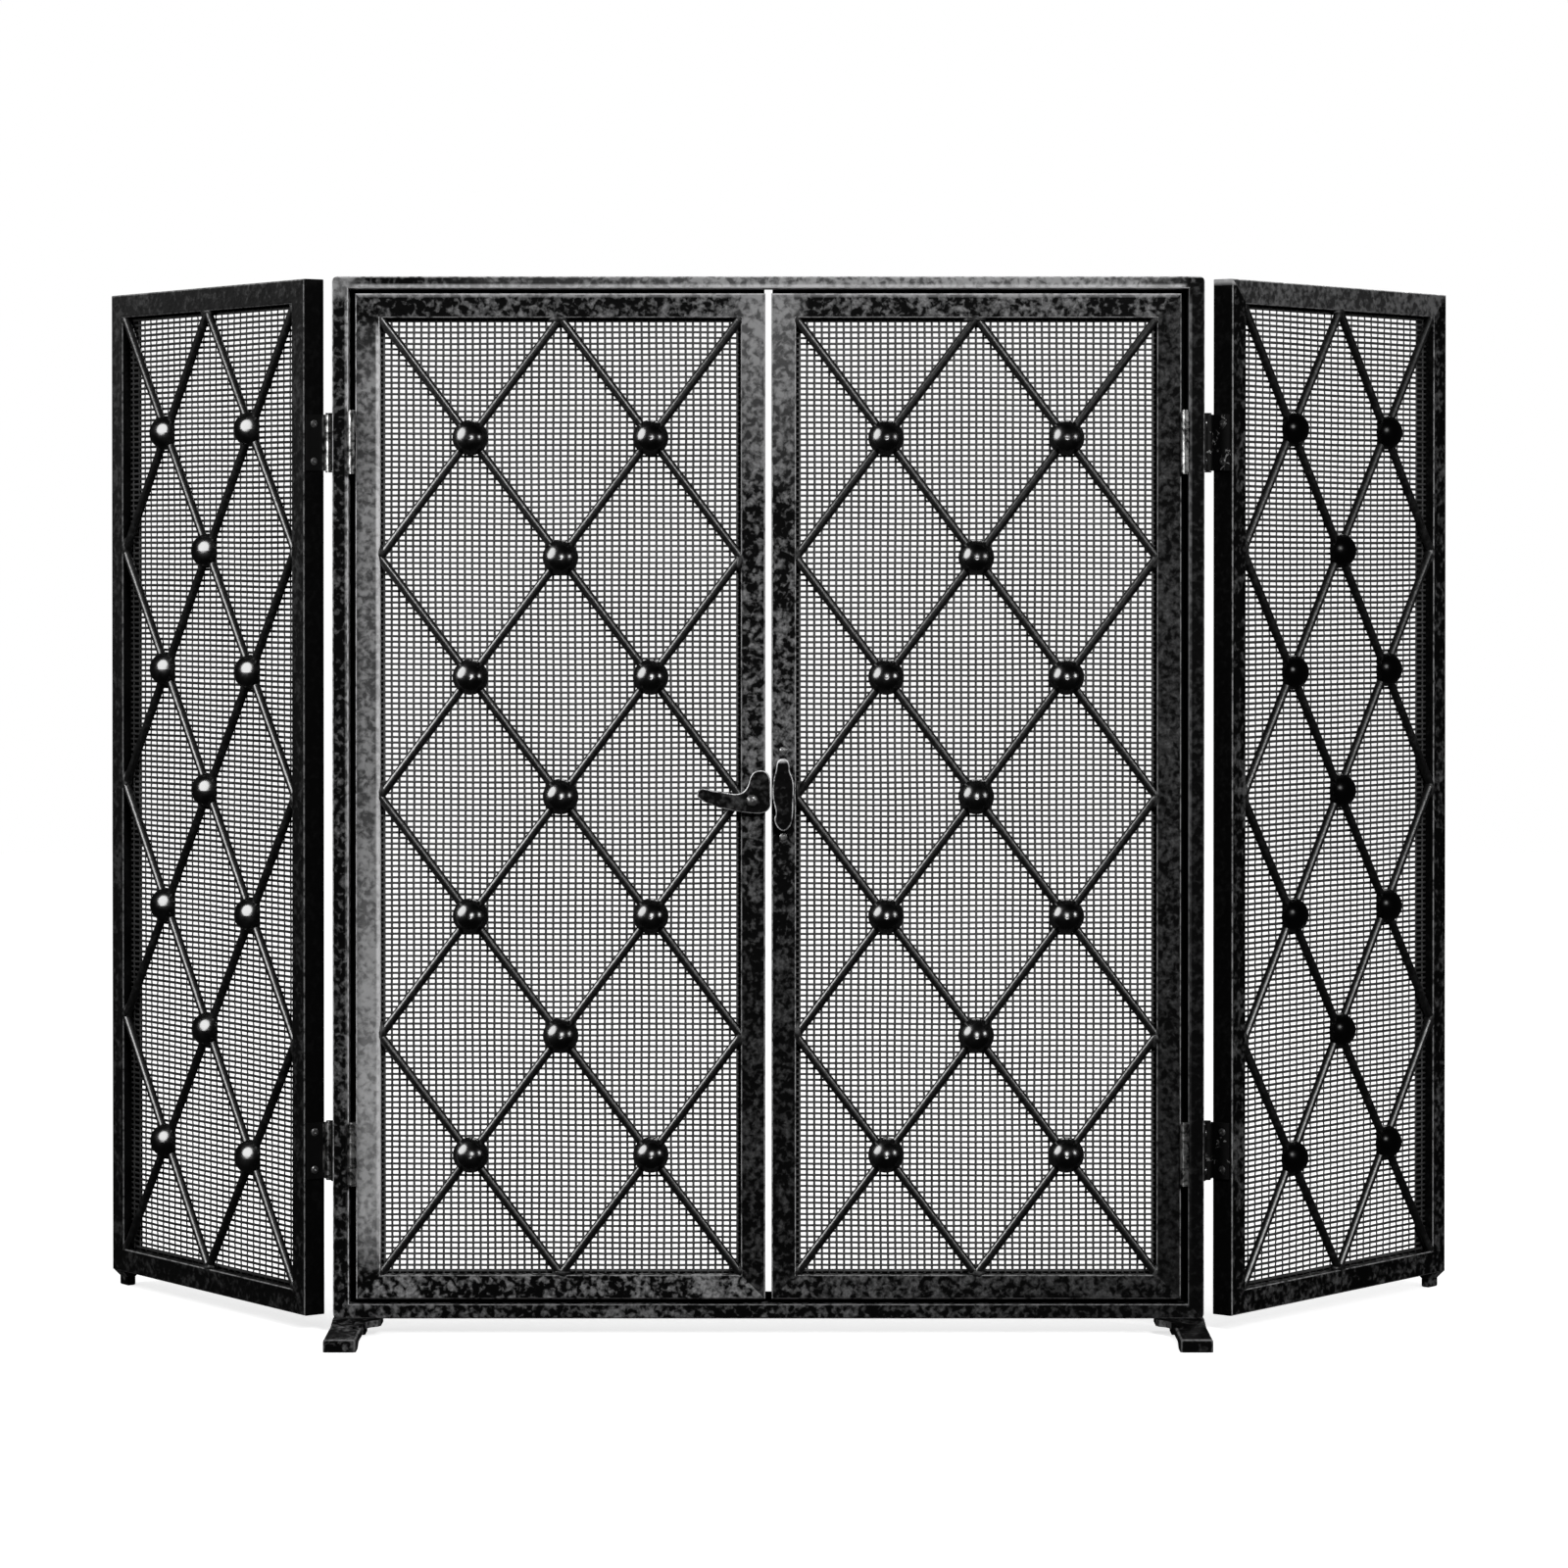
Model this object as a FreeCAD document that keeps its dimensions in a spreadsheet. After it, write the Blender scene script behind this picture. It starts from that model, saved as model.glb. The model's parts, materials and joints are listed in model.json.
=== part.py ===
import FreeCAD, Part
import math
import os
import Sketcher

# Three-fold fireplace screen: a free-standing centre frame with two hinged
# mesh doors, a folding mesh wing on each side, two forward feet, a peg under
# the far end of each wing and a turning latch lever between the doors.
#
# Axes: +Z up, the screen faces -Y (the room), X along the centre frame.
# All numbers in millimetres and degrees.

V = FreeCAD.Vector
R = FreeCAD.Rotation
P = FreeCAD.Placement

doc = FreeCAD.newDocument("fireplace_screen")
sheet = doc.addObject("Spreadsheet::Sheet", "dims")
sheet.Label = "dims"

# name, value, meaning
DIMS = [
    ("off_x", -6.69, "shift of the centre frame in X that centres the whole box on the origin"),
    ("off_y", -92.38, "shift of the centre frame's front plane in Y that centres the whole box"),
    # centre frame
    ("frame_width", 648.0, "centre frame, outside width"),
    ("frame_bottom", 12.0, "underside of the bottom rail above the floor"),
    ("frame_top", 787.0, "top of the centre frame, overall height"),
    ("frame_depth", 20.0, "depth of the centre frame's tube"),
    ("frame_stile_face", 12.0, "face width of the frame's stiles"),
    ("frame_top_face", 9.0, "face height of the frame's top rail"),
    ("frame_bottom_face", 11.0, "face height of the frame's bottom rail"),
    ("frame_wall", 1.6, "wall of the frame's tube"),
    ("frame_corner", 4.2, "outside corner radius of the frame seen from the front"),
    # doors
    ("door_gap_side", 5.2, "gap between stile and door"),
    ("door_gap_top", 3.6, "gap above the doors"),
    ("door_gap_bottom", 3.6, "gap below the doors"),
    ("door_gap_mid", 4.6, "gap between the two doors"),
    # panel tube, used by doors and wings
    ("tube_face", 18.2, "square tube, face width"),
    ("tube_depth", 18.0, "square tube, depth"),
    ("tube_wall", 1.2, "square tube, wall"),
    ("tube_edge", 1.5, "outside edge radius of all tubes"),
    # lattice
    ("rod_dia", 6.35, "lattice rod"),
    ("rod_y", 3.2, "centre plane of all the rods behind the panel's front, so they lie flush with it"),
    ("rod_fit", 0.04, "gap round a falling rod where a rising one is cut to fit it"),
    ("dome_dia", 26.6, "dome, outside diameter"),
    ("dome_rim", 0.8, "dome, straight rim height"),
    ("dome_height", 13.2, "dome, overall height in front of the rods' centre plane"),
    ("dome_wall", 1.5, "dome, thickness of its wall"),
    # mesh and its strips
    ("mesh_thick", 0.4, "solid sheet with the mass of the woven mesh"),
    ("mesh_y", 7.5, "front of the mesh sheet behind the panel's front"),
    ("strip_y", 9.1, "front of the retainer strips behind the panel's front"),
    ("strip_width", 3.0, "retainer strip, width seen inside the opening"),
    ("strip_thick", 1.2, "retainer strip, thickness"),
    # door stop strips
    ("stop_cover", 3.0, "how far a stop strip reaches behind a door"),
    ("stop_thick", 1.4, "stop strip, thickness"),
    ("stop_clear", 0.3, "gap between a closed door and its stop strip"),
    ("stop_slot", 6.0, "gap between the two top stop strips at the middle"),
    # wings
    ("wing_width", 300.0, "wing, outside width"),
    ("wing_bottom", 12.0, "underside of the wing above the floor"),
    ("wing_top", 786.0, "top of the wing"),
    ("wing_gap", 8.5, "gap between frame and wing when they stand in line"),
    ("wing_back", 1.5, "hinge axis behind the back planes of frame and wing"),
    ("wing_angle_left", 54.0, "left wing, folded back from in line"),
    ("wing_angle_right", 50.65, "right wing, folded back from in line"),
    ("peg_width", 12.0, "peg, width"),
    ("peg_depth", 7.0, "peg, depth"),
    ("peg_flare", 5.0, "height of the flared part under the tube"),
    # feet
    ("foot_width", 24.0, "front foot, width of the bar"),
    ("foot_reach", 82.0, "how far a foot reaches in front of the frame"),
    ("foot_toe", 9.8, "height of the toe"),
    ("foot_flange", 36.0, "width of the flange under the rail"),
    ("foot_flange_thick", 5.0, "thickness of the flange"),
    # hinges
    ("hinge_upper", 664.0, "height of the upper hinges' middle"),
    ("hinge_lower", 135.0, "height of the lower hinges' middle"),
    ("dh_length", 45.0, "door hinge, barrel length"),
    ("dh_mid", 21.0, "door hinge, middle knuckle length"),
    ("dh_radius", 3.5, "door hinge, barrel radius"),
    ("dh_front", 3.3, "door hinge, axis in front of the frame's front plane"),
    ("wh_length", 42.0, "wing hinge, barrel length"),
    ("wh_mid", 16.0, "wing hinge, middle knuckle length"),
    ("wh_radius", 3.6, "wing hinge, barrel radius"),
    ("wh_leaf", 17.5, "wing hinge, leaf depth from the axis"),
    ("leaf_thick", 1.5, "hinge leaf, thickness"),
    ("knuckle_gap", 0.3, "gap between knuckles"),
    ("pin_radius", 1.7, "hinge pin radius"),
    ("pin_fit", 0.05, "radial clearance of a pin in its knuckles"),
    ("screw_head", 2.9, "hinge screw, head radius"),
    # latch
    ("latch_x", -12.0, "latch pivot, from the middle of the screen"),
    ("latch_z", 398.0, "latch pivot height"),
    ("lever_thick", 4.0, "lever, thickness"),
    ("lever_gap", 2.2, "gap between stile and lever, filled by the boss"),
    ("pivot_radius", 2.5, "pivot rivet, shank radius"),
    ("pivot_head", 4.3, "pivot rivet, head radius"),
    ("boss_radius", 7.0, "boss, radius"),
    ("keeper_depth", 9.0, "keeper, stand-off in front of the stile"),
    ("keeper_wall", 1.5, "keeper, wall"),
]
for row, (name, value, note) in enumerate(DIMS, start=1):
    sheet.set("A%d" % row, name)
    sheet.set("B%d" % row, "%g" % value)
    sheet.set("C%d" % row, note)
    sheet.setAlias("B%d" % row, name)
doc.recompute()


def d(name):
    return float(sheet.get(name))


def plane(body, role):
    return [f for f in body.Origin.OriginFeatures if f.Role == role][0]


def new_body(label):
    body = doc.addObject("PartDesign::Body", label)
    body.Label = label
    return body


def new_sketch(body, name, role="XY_Plane"):
    sk = body.newObject("Sketcher::SketchObject", name)
    sk.AttachmentSupport = [(plane(body, role), "")]
    sk.MapMode = "FlatFace"
    return sk


def polygon(sk, points):
    """Closed polygon. Each point is a pair of sheet expressions. Every corner
    is held by a horizontal and a vertical distance from the sketch's origin."""
    vals = [(evaluate(a), evaluate(b)) for a, b in points]
    n = len(vals)
    first = sk.GeometryCount
    for i in range(n):
        a, b = vals[i], vals[(i + 1) % n]
        sk.addGeometry(Part.LineSegment(V(a[0], a[1], 0), V(b[0], b[1], 0)), False)
    for i in range(n):
        sk.addConstraint(Sketcher.Constraint(
            "Coincident", first + i, 2, first + (i + 1) % n, 1))
    for i in range(n):
        for kind, expr, value in (("DistanceX", points[i][0], vals[i][0]),
                                  ("DistanceY", points[i][1], vals[i][1])):
            c = sk.addConstraint(Sketcher.Constraint(
                kind, -1, 1, first + i, 1, value))
            sk.setExpression("Constraints[%d]" % c, expr)


def evaluate(expr):
    """Value of a simple sheet expression such as 'dims.a + dims.b / 2'."""
    return float(doc.evalExpression(expr)) if hasattr(doc, "evalExpression") \
        else float(sheet.evalExpression(expr))


def circle(sk, x, y, radius_expr):
    g = sk.addGeometry(Part.Circle(V(evaluate(x), evaluate(y), 0), V(0, 0, 1),
                                   evaluate(radius_expr)), False)
    for kind, expr in (("DistanceX", x), ("DistanceY", y)):
        c = sk.addConstraint(Sketcher.Constraint(kind, -1, 1, g, 3, evaluate(expr)))
        sk.setExpression("Constraints[%d]" % c, expr)
    c = sk.addConstraint(Sketcher.Constraint("Radius", g, evaluate(radius_expr)))
    sk.setExpression("Constraints[%d]" % c, radius_expr)


def pad(body, sk, length_expr, name, reverse=False, both=False):
    f = body.newObject("PartDesign::Pad", name)
    f.Profile = sk
    f.Length = evaluate(length_expr)
    f.setExpression("Length", length_expr)
    f.Reversed = reverse
    if both:
        f.SideType = "Symmetric"
    sk.Visibility = False
    doc.recompute()
    return f


def pocket(body, sk, length_expr, name, reverse=False, both=False):
    before = body.Tip.Shape.Volume
    f = body.newObject("PartDesign::Pocket", name)
    f.Profile = sk
    f.Type = "Length"
    f.Length = evaluate(length_expr)
    f.setExpression("Length", length_expr)
    f.Reversed = reverse
    if both:
        f.SideType = "Symmetric"
    sk.Visibility = False
    doc.recompute()
    after = f.Shape.Volume
    if not after < before - 1e-6:
        raise RuntimeError("%s cuts nothing (%g, %g)" % (name, before, after))
    return f


def fillet(body, base, edges, radius_expr, name):
    f = body.newObject("PartDesign::Fillet", name)
    f.Base = (base, edges)
    f.Radius = evaluate(radius_expr)
    f.setExpression("Radius", radius_expr)
    doc.recompute()
    return f


def edges_where(shape, test):
    return ["Edge%d" % (i + 1) for i, e in enumerate(shape.Edges) if test(e)]


def prim(kind, name, **exprs):
    """Part primitive whose sizes are bound to the sheet."""
    o = doc.addObject(kind, name)
    o.Label = name
    for prop, expr in exprs.items():
        o.setExpression(prop, expr)
    return o


def box(name, lx, ly, lz, at):
    """Part::Box with sizes and corner position bound to the sheet."""
    o = prim("Part::Box", name, Length=lx, Width=ly, Height=lz)
    for axis, expr in zip("xyz", at):
        o.setExpression("Placement.Base." + axis, expr)
    return o


def cyl(name, radius, height, at):
    """Upright Part::Cylinder bound to the sheet."""
    o = prim("Part::Cylinder", name, Radius=radius, Height=height)
    for axis, expr in zip("xyz", at):
        o.setExpression("Placement.Base." + axis, expr)
    return o


def fuse(name, shapes):
    if len(shapes) == 1:
        return shapes[0]
    o = doc.addObject("Part::MultiFuse", name)
    o.Shapes = shapes
    o.Refine = True
    return o


def cut(name, base, tool):
    o = doc.addObject("Part::Cut", name)
    o.Base = base
    o.Tool = tool
    o.Refine = True
    return o


def compound(name, links):
    o = doc.addObject("Part::Compound", name)
    o.Links = links
    return o


NODES = []


def node(obj, label, placement):
    obj.Label = label
    obj.Placement = placement
    NODES.append(obj)
    return obj


# ---------------------------------------------------------------- placements
ORIGIN = P(V(d("off_x"), d("off_y"), 0), R())
half = d("frame_width") / 2.0
hinge_y = d("frame_depth") + d("wing_back")
axis_x = half + d("wing_gap") / 2.0
LEFT_WING = ORIGIN * P(V(-axis_x, hinge_y, 0), R(V(0, 0, 1), -d("wing_angle_left")))
RIGHT_WING = ORIGIN * P(V(axis_x, hinge_y, 0), R(V(0, 0, 1), d("wing_angle_right")))


# ---------------------------------------------------------------- tubes
def tube(label, length, face, depth, wall, near, far, placement,
         round_near=None, round_far=None):
    """Rectangular tube along local Z with mitred ends. Its outer edge is the
    plane x = 0 and its front is y = 0. near and far are the face widths of
    the tubes that it meets at z = 0 and at its other end."""
    body = new_body(label)
    section = new_sketch(body, label + "_section")
    polygon(section, [("0", "0"), (face, "0"), (face, depth), ("0", depth)])
    polygon(section, [(wall, wall), (face + " - " + wall, wall),
                      (face + " - " + wall, depth + " - " + wall),
                      (wall, depth + " - " + wall)])
    base = pad(body, section, length, label + "_pad")
    w, dep = evaluate(face), evaluate(depth)

    def long_outer(e):
        b = e.BoundBox
        if b.ZLength < evaluate(length) - 1:
            return False
        return (b.XMin < 0.01 or b.XMin > w - 0.01) and \
            (b.YMin < 0.01 or b.YMin > dep - 0.01)
    outer = edges_where(base.Shape, long_outer)
    if len(outer) != 4:
        raise RuntimeError(label + ": outer edges %d" % len(outer))
    fillet(body, base, outer, "dims.tube_edge", label + "_edges")
    # mitre at each end: the wedge beyond the line from the outer corner to
    # the inner corner is taken away
    near_sk = new_sketch(body, label + "_mitre_near", "XZ_Plane")
    polygon(near_sk, [("-1", "-(%s) / (%s)" % (near, face)),
                      (face + " + 1", "(%s) + (%s) / (%s)" % (near, near, face)),
                      (face + " + 1", "-4"), ("-1", "-4")])
    pocket(body, near_sk, depth + " * 3", label + "_cut_near", both=True)
    far_sk = new_sketch(body, label + "_mitre_far", "XZ_Plane")
    polygon(far_sk, [("-1", "%s + (%s) / (%s)" % (length, far, face)),
                     (face + " + 1", "%s - (%s) - (%s) / (%s)" % (length, far, far, face)),
                     (face + " + 1", length + " + 4"), ("-1", length + " + 4")])
    pocket(body, far_sk, depth + " * 3", label + "_cut_far", both=True)
    for end, rad in (("near", round_near), ("far", round_far)):
        if rad is None:
            continue
        sk = new_sketch(body, label + "_corner_" + end, "XZ_Plane")
        r = evaluate(rad)
        length_value = evaluate(length)
        if end == "near":
            zc, zo, sign = r, -1.0, 1
        else:
            zc, zo, sign = length_value - r, length_value + 1.0, -1
        # corner square outside a quarter circle that is tangent to both sides
        arc = Part.ArcOfCircle(Part.Circle(V(r, zc, 0), V(0, 0, 1), r),
                               math.pi if sign > 0 else math.pi / 2,
                               1.5 * math.pi if sign > 0 else math.pi)
        pts = [V(0, zc, 0), V(-1, zc, 0), V(-1, zo, 0), V(r, zo, 0),
               V(r, zc - sign * r, 0)]
        g = sk.addGeometry(arc, False)
        for a, b in zip(pts[:-1], pts[1:]):
            sk.addGeometry(Part.LineSegment(a, b), False)
        start, stop = (1, 2) if sign > 0 else (2, 1)
        sk.addConstraint(Sketcher.Constraint("Coincident", g, start, g + 1, 1))
        for i in range(1, 4):
            sk.addConstraint(Sketcher.Constraint("Coincident", g + i, 2, g + i + 1, 1))
        sk.addConstraint(Sketcher.Constraint("Coincident", g + 4, 2, g, stop))
        c = sk.addConstraint(Sketcher.Constraint("Radius", g, r))
        sk.setExpression("Constraints[%d]" % c, rad)
        pocket(body, sk, depth + " * 3", label + "_cut_corner_" + end, both=True)
    return node(body, label, placement)


def turned(x, z, quarter):
    """Placement in a panel's own frame: tube start at (x, 0, z), turned by
    quarter turns about Y."""
    return P(V(x, 0, z), R(V(0, 1, 0), 90.0 * quarter))


# ---------------------------------------------------------------- lattice
def lattice(prefix, width, height, placement):
    """Crossed rods in one plane, a dome over every crossing, the mesh sheet and
    its retainer strips, inside the opening of a panel width by height. The
    falling rods run through, and the rising ones are lengths cut to butt
    against them, each joint covered by a dome."""
    face = "dims.tube_face"
    ow = "(%s - 2 * %s)" % (width, face)
    oh = "(%s - 2 * %s)" % (height, face)
    hw, hh = evaluate(ow) / 4.0, evaluate(oh) / 8.0
    w, h_ = evaluate(ow), evaluate(oh)
    f = d("tube_face")
    # start cells of the rods that run down to the right, in half cells from
    # the top left corner of the opening: (column, row, number of half cells)
    runs = [(0, 0, 4), (2, 0, 2), (0, 2, 4), (0, 4, 4), (0, 6, 2)]
    for kind, mirror in (("rods_falling", False), ("rods_rising", True)):
        name = prefix + "_" + kind
        rods, cutters = [], []
        for i, (c0, r0, n) in enumerate(runs):
            x0, z0 = c0 * hw, h_ - r0 * hh
            x1, z1 = (c0 + n) * hw, h_ - (r0 + n) * hh
            if mirror:
                x0, x1 = w - x0, w - x1
            a, b = V(f + x0, d("rod_y"), f + z0), V(f + x1, d("rod_y"), f + z1)
            run = b - a
            step = run * (15.0 / run.Length)
            rod = prim("Part::Cylinder", "%s_%d" % (name, i), Radius="dims.rod_dia / 2")
            cells = "sqrt(pow(%s / 4; 2) + pow(%s / 8; 2)) * %d + 30" % (ow, oh, n)
            rod.setExpression("Height", cells)
            rod.Placement = P(a - step, R(V(0, 0, 1), run))
            rods.append(rod)
            if not mirror:
                cutter = prim("Part::Cylinder", "%s_%d_room" % (name, i),
                              Radius="dims.rod_dia / 2 + dims.rod_fit")
                cutter.setExpression("Height", cells)
                cutter.Placement = P(a - step, R(V(0, 0, 1), run))
                cutters.append(cutter)
        if not mirror:
            notch = fuse(prefix + "_rod_crossings", cutters)
        many = doc.addObject("Part::Compound", name + "_long")
        many.Links = rods
        room = box(name + "_room", ow, "dims.tube_depth", oh, (face, "0", face))
        inside = doc.addObject("Part::Common", name if not mirror else name + "_uncut")
        inside.Base = many
        inside.Tool = room
        if mirror:
            inside = cut(name, inside, notch)
        node(inside, name, placement)

    # domes: two on the odd rows and one on the even rows, each a hollow
    # pressed half round, notched to sit over the rods that cross under it
    back = d("rod_y")

    def half_round(radius, rim, high):
        drop = high - rim
        ball = (radius ** 2 + drop ** 2) / (2 * drop)
        crown = radius * math.sin(math.radians(45))
        mid = V(crown, -(rim + math.sqrt(ball ** 2 - crown ** 2) - (ball - drop)), 0)
        outline = [Part.LineSegment(V(0, 0, 0), V(radius, 0, 0)),
                   Part.LineSegment(V(radius, 0, 0), V(radius, -rim, 0)),
                   Part.Arc(V(radius, -rim, 0), mid, V(0, -high, 0)),
                   Part.LineSegment(V(0, -high, 0), V(0, 0, 0))]
        profile = Part.Face(Part.Wire([g.toShape() for g in outline]))
        return profile.revolve(V(0, 0, 0), V(0, 1, 0), 360)

    wall = d("dome_wall")
    dome = half_round(d("dome_dia") / 2.0, d("dome_rim"), d("dome_height"))
    dome = dome.cut(half_round(d("dome_dia") / 2.0 - wall, d("dome_rim"), d("dome_height") - wall))
    for lean in (-1, 1):
        along = V(hw, 0, lean * hh)
        along.normalize()
        dome = dome.cut(Part.makeCylinder(d("rod_dia") / 2.0 + d("rod_fit"), 60, along * -30, along))
    if len(dome.Solids) != 1 or not dome.isValid():
        raise RuntimeError(prefix + ": the dome isn't one solid")
    dome = dome.Solids[0]
    solids = []
    for rownum in range(1, 8):
        for col in ((1, 3) if rownum % 2 else (2,)):
            s = dome.copy()
            s.translate(V(f + col * hw, back, f + h_ - rownum * hh))
            solids.append(s)
    domes = doc.addObject("Part::Feature", prefix + "_domes")
    domes.Shape = Part.makeCompound(solids)
    node(domes, prefix + "_domes", placement)

    # mesh: one thin sheet that fills the opening
    sheet_box = box(prefix + "_mesh_sheet", ow, "dims.mesh_thick", oh, (face, "dims.mesh_y", face))
    whole = compound(prefix + "_mesh_panel", [sheet_box])
    node(whole, prefix + "_mesh", placement)

    # retainer: four strips round the opening, close behind the mesh
    y0 = "dims.strip_y"
    sw = "dims.strip_width"
    strips = [
        box(prefix + "_strip_left", sw, "dims.strip_thick", oh, (face, y0, face)),
        box(prefix + "_strip_right", sw, "dims.strip_thick", oh,
            ("%s - %s - %s" % (width, face, sw), y0, face)),
        box(prefix + "_strip_low", "%s - 2 * %s" % (ow, sw), "dims.strip_thick", sw,
            ("%s + %s" % (face, sw), y0, face)),
        box(prefix + "_strip_high", "%s - 2 * %s" % (ow, sw), "dims.strip_thick", sw,
            ("%s + %s" % (face, sw), y0, "%s - %s - %s" % (height, face, sw))),
    ]
    node(compound(prefix + "_retainer", strips), prefix + "_retainer", placement)


def panel(prefix, left_name, right_name, width, height, placement):
    """Mitred square-tube panel with its lattice. Own frame: left lower front
    corner at the origin, X across, Y to the back, Z up."""
    w, h_ = evaluate(width), evaluate(height)
    t = ("dims.tube_face", "dims.tube_depth", "dims.tube_wall",
         "dims.tube_face", "dims.tube_face")
    tube(prefix + "_" + left_name, height, *t, placement * turned(0, 0, 0))
    tube(prefix + "_top_rail", width, *t, placement * turned(0, h_, 1))
    tube(prefix + "_" + right_name, height, *t, placement * turned(w, h_, 2))
    tube(prefix + "_bottom_rail", width, *t, placement * turned(w, 0, 3))
    lattice(prefix, width, height, placement)


# ---------------------------------------------------------------- centre frame
FH = "(dims.frame_top - dims.frame_bottom)"
low, top = d("frame_bottom"), d("frame_top")
S, T, B = "dims.frame_stile_face", "dims.frame_top_face", "dims.frame_bottom_face"
FD, FW, FC = "dims.frame_depth", "dims.frame_wall", "dims.frame_corner"
tube("frame_left_stile", FH, S, FD, FW, B, T,
     ORIGIN * turned(-half, low, 0), FC, FC)
tube("frame_top_rail", "dims.frame_width", T, FD, FW, S, S,
     ORIGIN * turned(-half, top, 1), FC, FC)
tube("frame_right_stile", FH, S, FD, FW, T, B,
     ORIGIN * turned(half, top, 2), FC, FC)
tube("frame_bottom_rail", "dims.frame_width", B, FD, FW, S, S,
     ORIGIN * turned(half, low, 3), FC, FC)


# feet: a bar under the end of the bottom rail that reaches forward to a toe,
# arched between toe and heel, with a wider flange under the rail
def foot(name, side):
    s = "-" if side < 0 else ""
    body = new_body(name)
    profile = new_sketch(body, name + "_profile", "YZ_Plane")
    reach = "-dims.foot_reach"
    polygon(profile, [
        (reach, "0"), (reach + " + 18", "0"), (reach + " + 27", "4"),
        ("-7", "4"), ("0", "0"), ("dims.frame_depth", "0"),
        ("dims.frame_depth", "dims.frame_bottom"), ("-1.5", "dims.frame_bottom"),
        ("-9", "dims.foot_toe + 0.9"), (reach, "dims.foot_toe")])
    # the bar starts flush with the frame's outer edge
    bar = pad(body, profile, "dims.foot_width", name + "_bar", reverse=(side > 0))
    toe = d("foot_reach")

    def soft(e):
        b = e.BoundBox
        if b.YMax > -8.9 or b.ZMax < 1:
            return False
        front_top = b.YMax < -toe + 0.05 and b.ZMin > d("foot_toe") - 0.05
        sides = b.YLength > 30 and b.ZMin > d("foot_toe") - 0.05
        front_sides = b.YMax < -toe + 0.05 and b.ZLength > 5
        return front_top or sides or front_sides
    fillet(body, bar, edges_where(bar.Shape, soft), "2.4", name + "_soft_edges")
    flange = new_sketch(body, name + "_flange_outline", "XY_Plane")
    inner = s + "(0 - dims.foot_width + 2.6)"
    wide = s + "(0 - dims.foot_flange)"
    bit = s + "(0 - dims.foot_width + 6)"
    polygon(flange, [
        (bit, "dims.frame_depth"), (wide, "dims.frame_depth"), (wide, "-1.5"),
        (s + "(0 - dims.foot_flange + 2)", "-6"),
        (s + "(0 - dims.foot_width - 5)", "-9.5"),
        (s + "(0 - dims.foot_width - 1.6)", "-16"),
        (s + "(0 - dims.foot_width + 0.2)", "-26"),
        (inner, "-38"), (bit, "-38")])
    flange.AttachmentOffset = P(V(0, 0, d("frame_bottom") - d("foot_flange_thick")), R())
    flange.setExpression("AttachmentOffset.Base.z",
                         "dims.frame_bottom - dims.foot_flange_thick")
    before = body.Tip.Shape.Volume
    web = pad(body, flange, "dims.foot_flange_thick", name + "_flange")
    if web.Shape.Volume < before + 500:
        raise RuntimeError(name + ": flange adds nothing")
    return body


foot_left = foot("foot_left", -1)
foot_right = foot("foot_right", 1)
foot_left.Placement = P(V(-half, 0, 0), R())
foot_right.Placement = P(V(half, 0, 0), R())
node(compound("front_feet", [foot_left, foot_right]), "front_feet", ORIGIN)

# stop strips behind the doors, welded to the frame's inner faces
IN_W = "(dims.frame_width - 2 * dims.frame_stile_face)"
Z0 = "(dims.frame_bottom + dims.frame_bottom_face)"
Z1 = "(dims.frame_top - dims.frame_top_face)"
DW = "((dims.frame_width - 2 * dims.frame_stile_face - 2 * dims.door_gap_side - dims.door_gap_mid) / 2)"
DZ0 = "(%s + dims.door_gap_bottom)" % Z0
DZ1 = "(%s - dims.door_gap_top)" % Z1
DH = "(%s - %s)" % (DZ1, DZ0)
SY = "dims.tube_depth + dims.stop_clear"
SIDE = "(dims.door_gap_side + dims.stop_cover)"
x_in = "dims.frame_width / 2 - dims.frame_stile_face"
strips = [
    box("stop_left", SIDE, "dims.stop_thick", "%s - %s" % (Z1, Z0),
        ("-(%s)" % x_in, SY, Z0)),
    box("stop_right", SIDE, "dims.stop_thick", "%s - %s" % (Z1, Z0),
        ("%s - %s" % (x_in, SIDE), SY, Z0)),
    box("stop_low", "%s - 2 * %s" % (IN_W, SIDE), "dims.stop_thick",
        "dims.door_gap_bottom + dims.stop_cover",
        ("-(%s) + %s" % (x_in, SIDE), SY, Z0)),
    box("stop_high_left", "(%s) - %s - dims.stop_slot / 2" % (x_in, SIDE),
        "dims.stop_thick", "dims.door_gap_top + dims.stop_cover",
        ("-(%s) + %s" % (x_in, SIDE), SY,
         "%s - dims.door_gap_top - dims.stop_cover" % Z1)),
    box("stop_high_right", "(%s) - %s - dims.stop_slot / 2" % (x_in, SIDE),
        "dims.stop_thick", "dims.door_gap_top + dims.stop_cover",
        ("dims.stop_slot / 2", SY,
         "%s - dims.door_gap_top - dims.stop_cover" % Z1)),
]
node(compound("door_stop_strips", strips), "door_stop_strips", ORIGIN)


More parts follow.
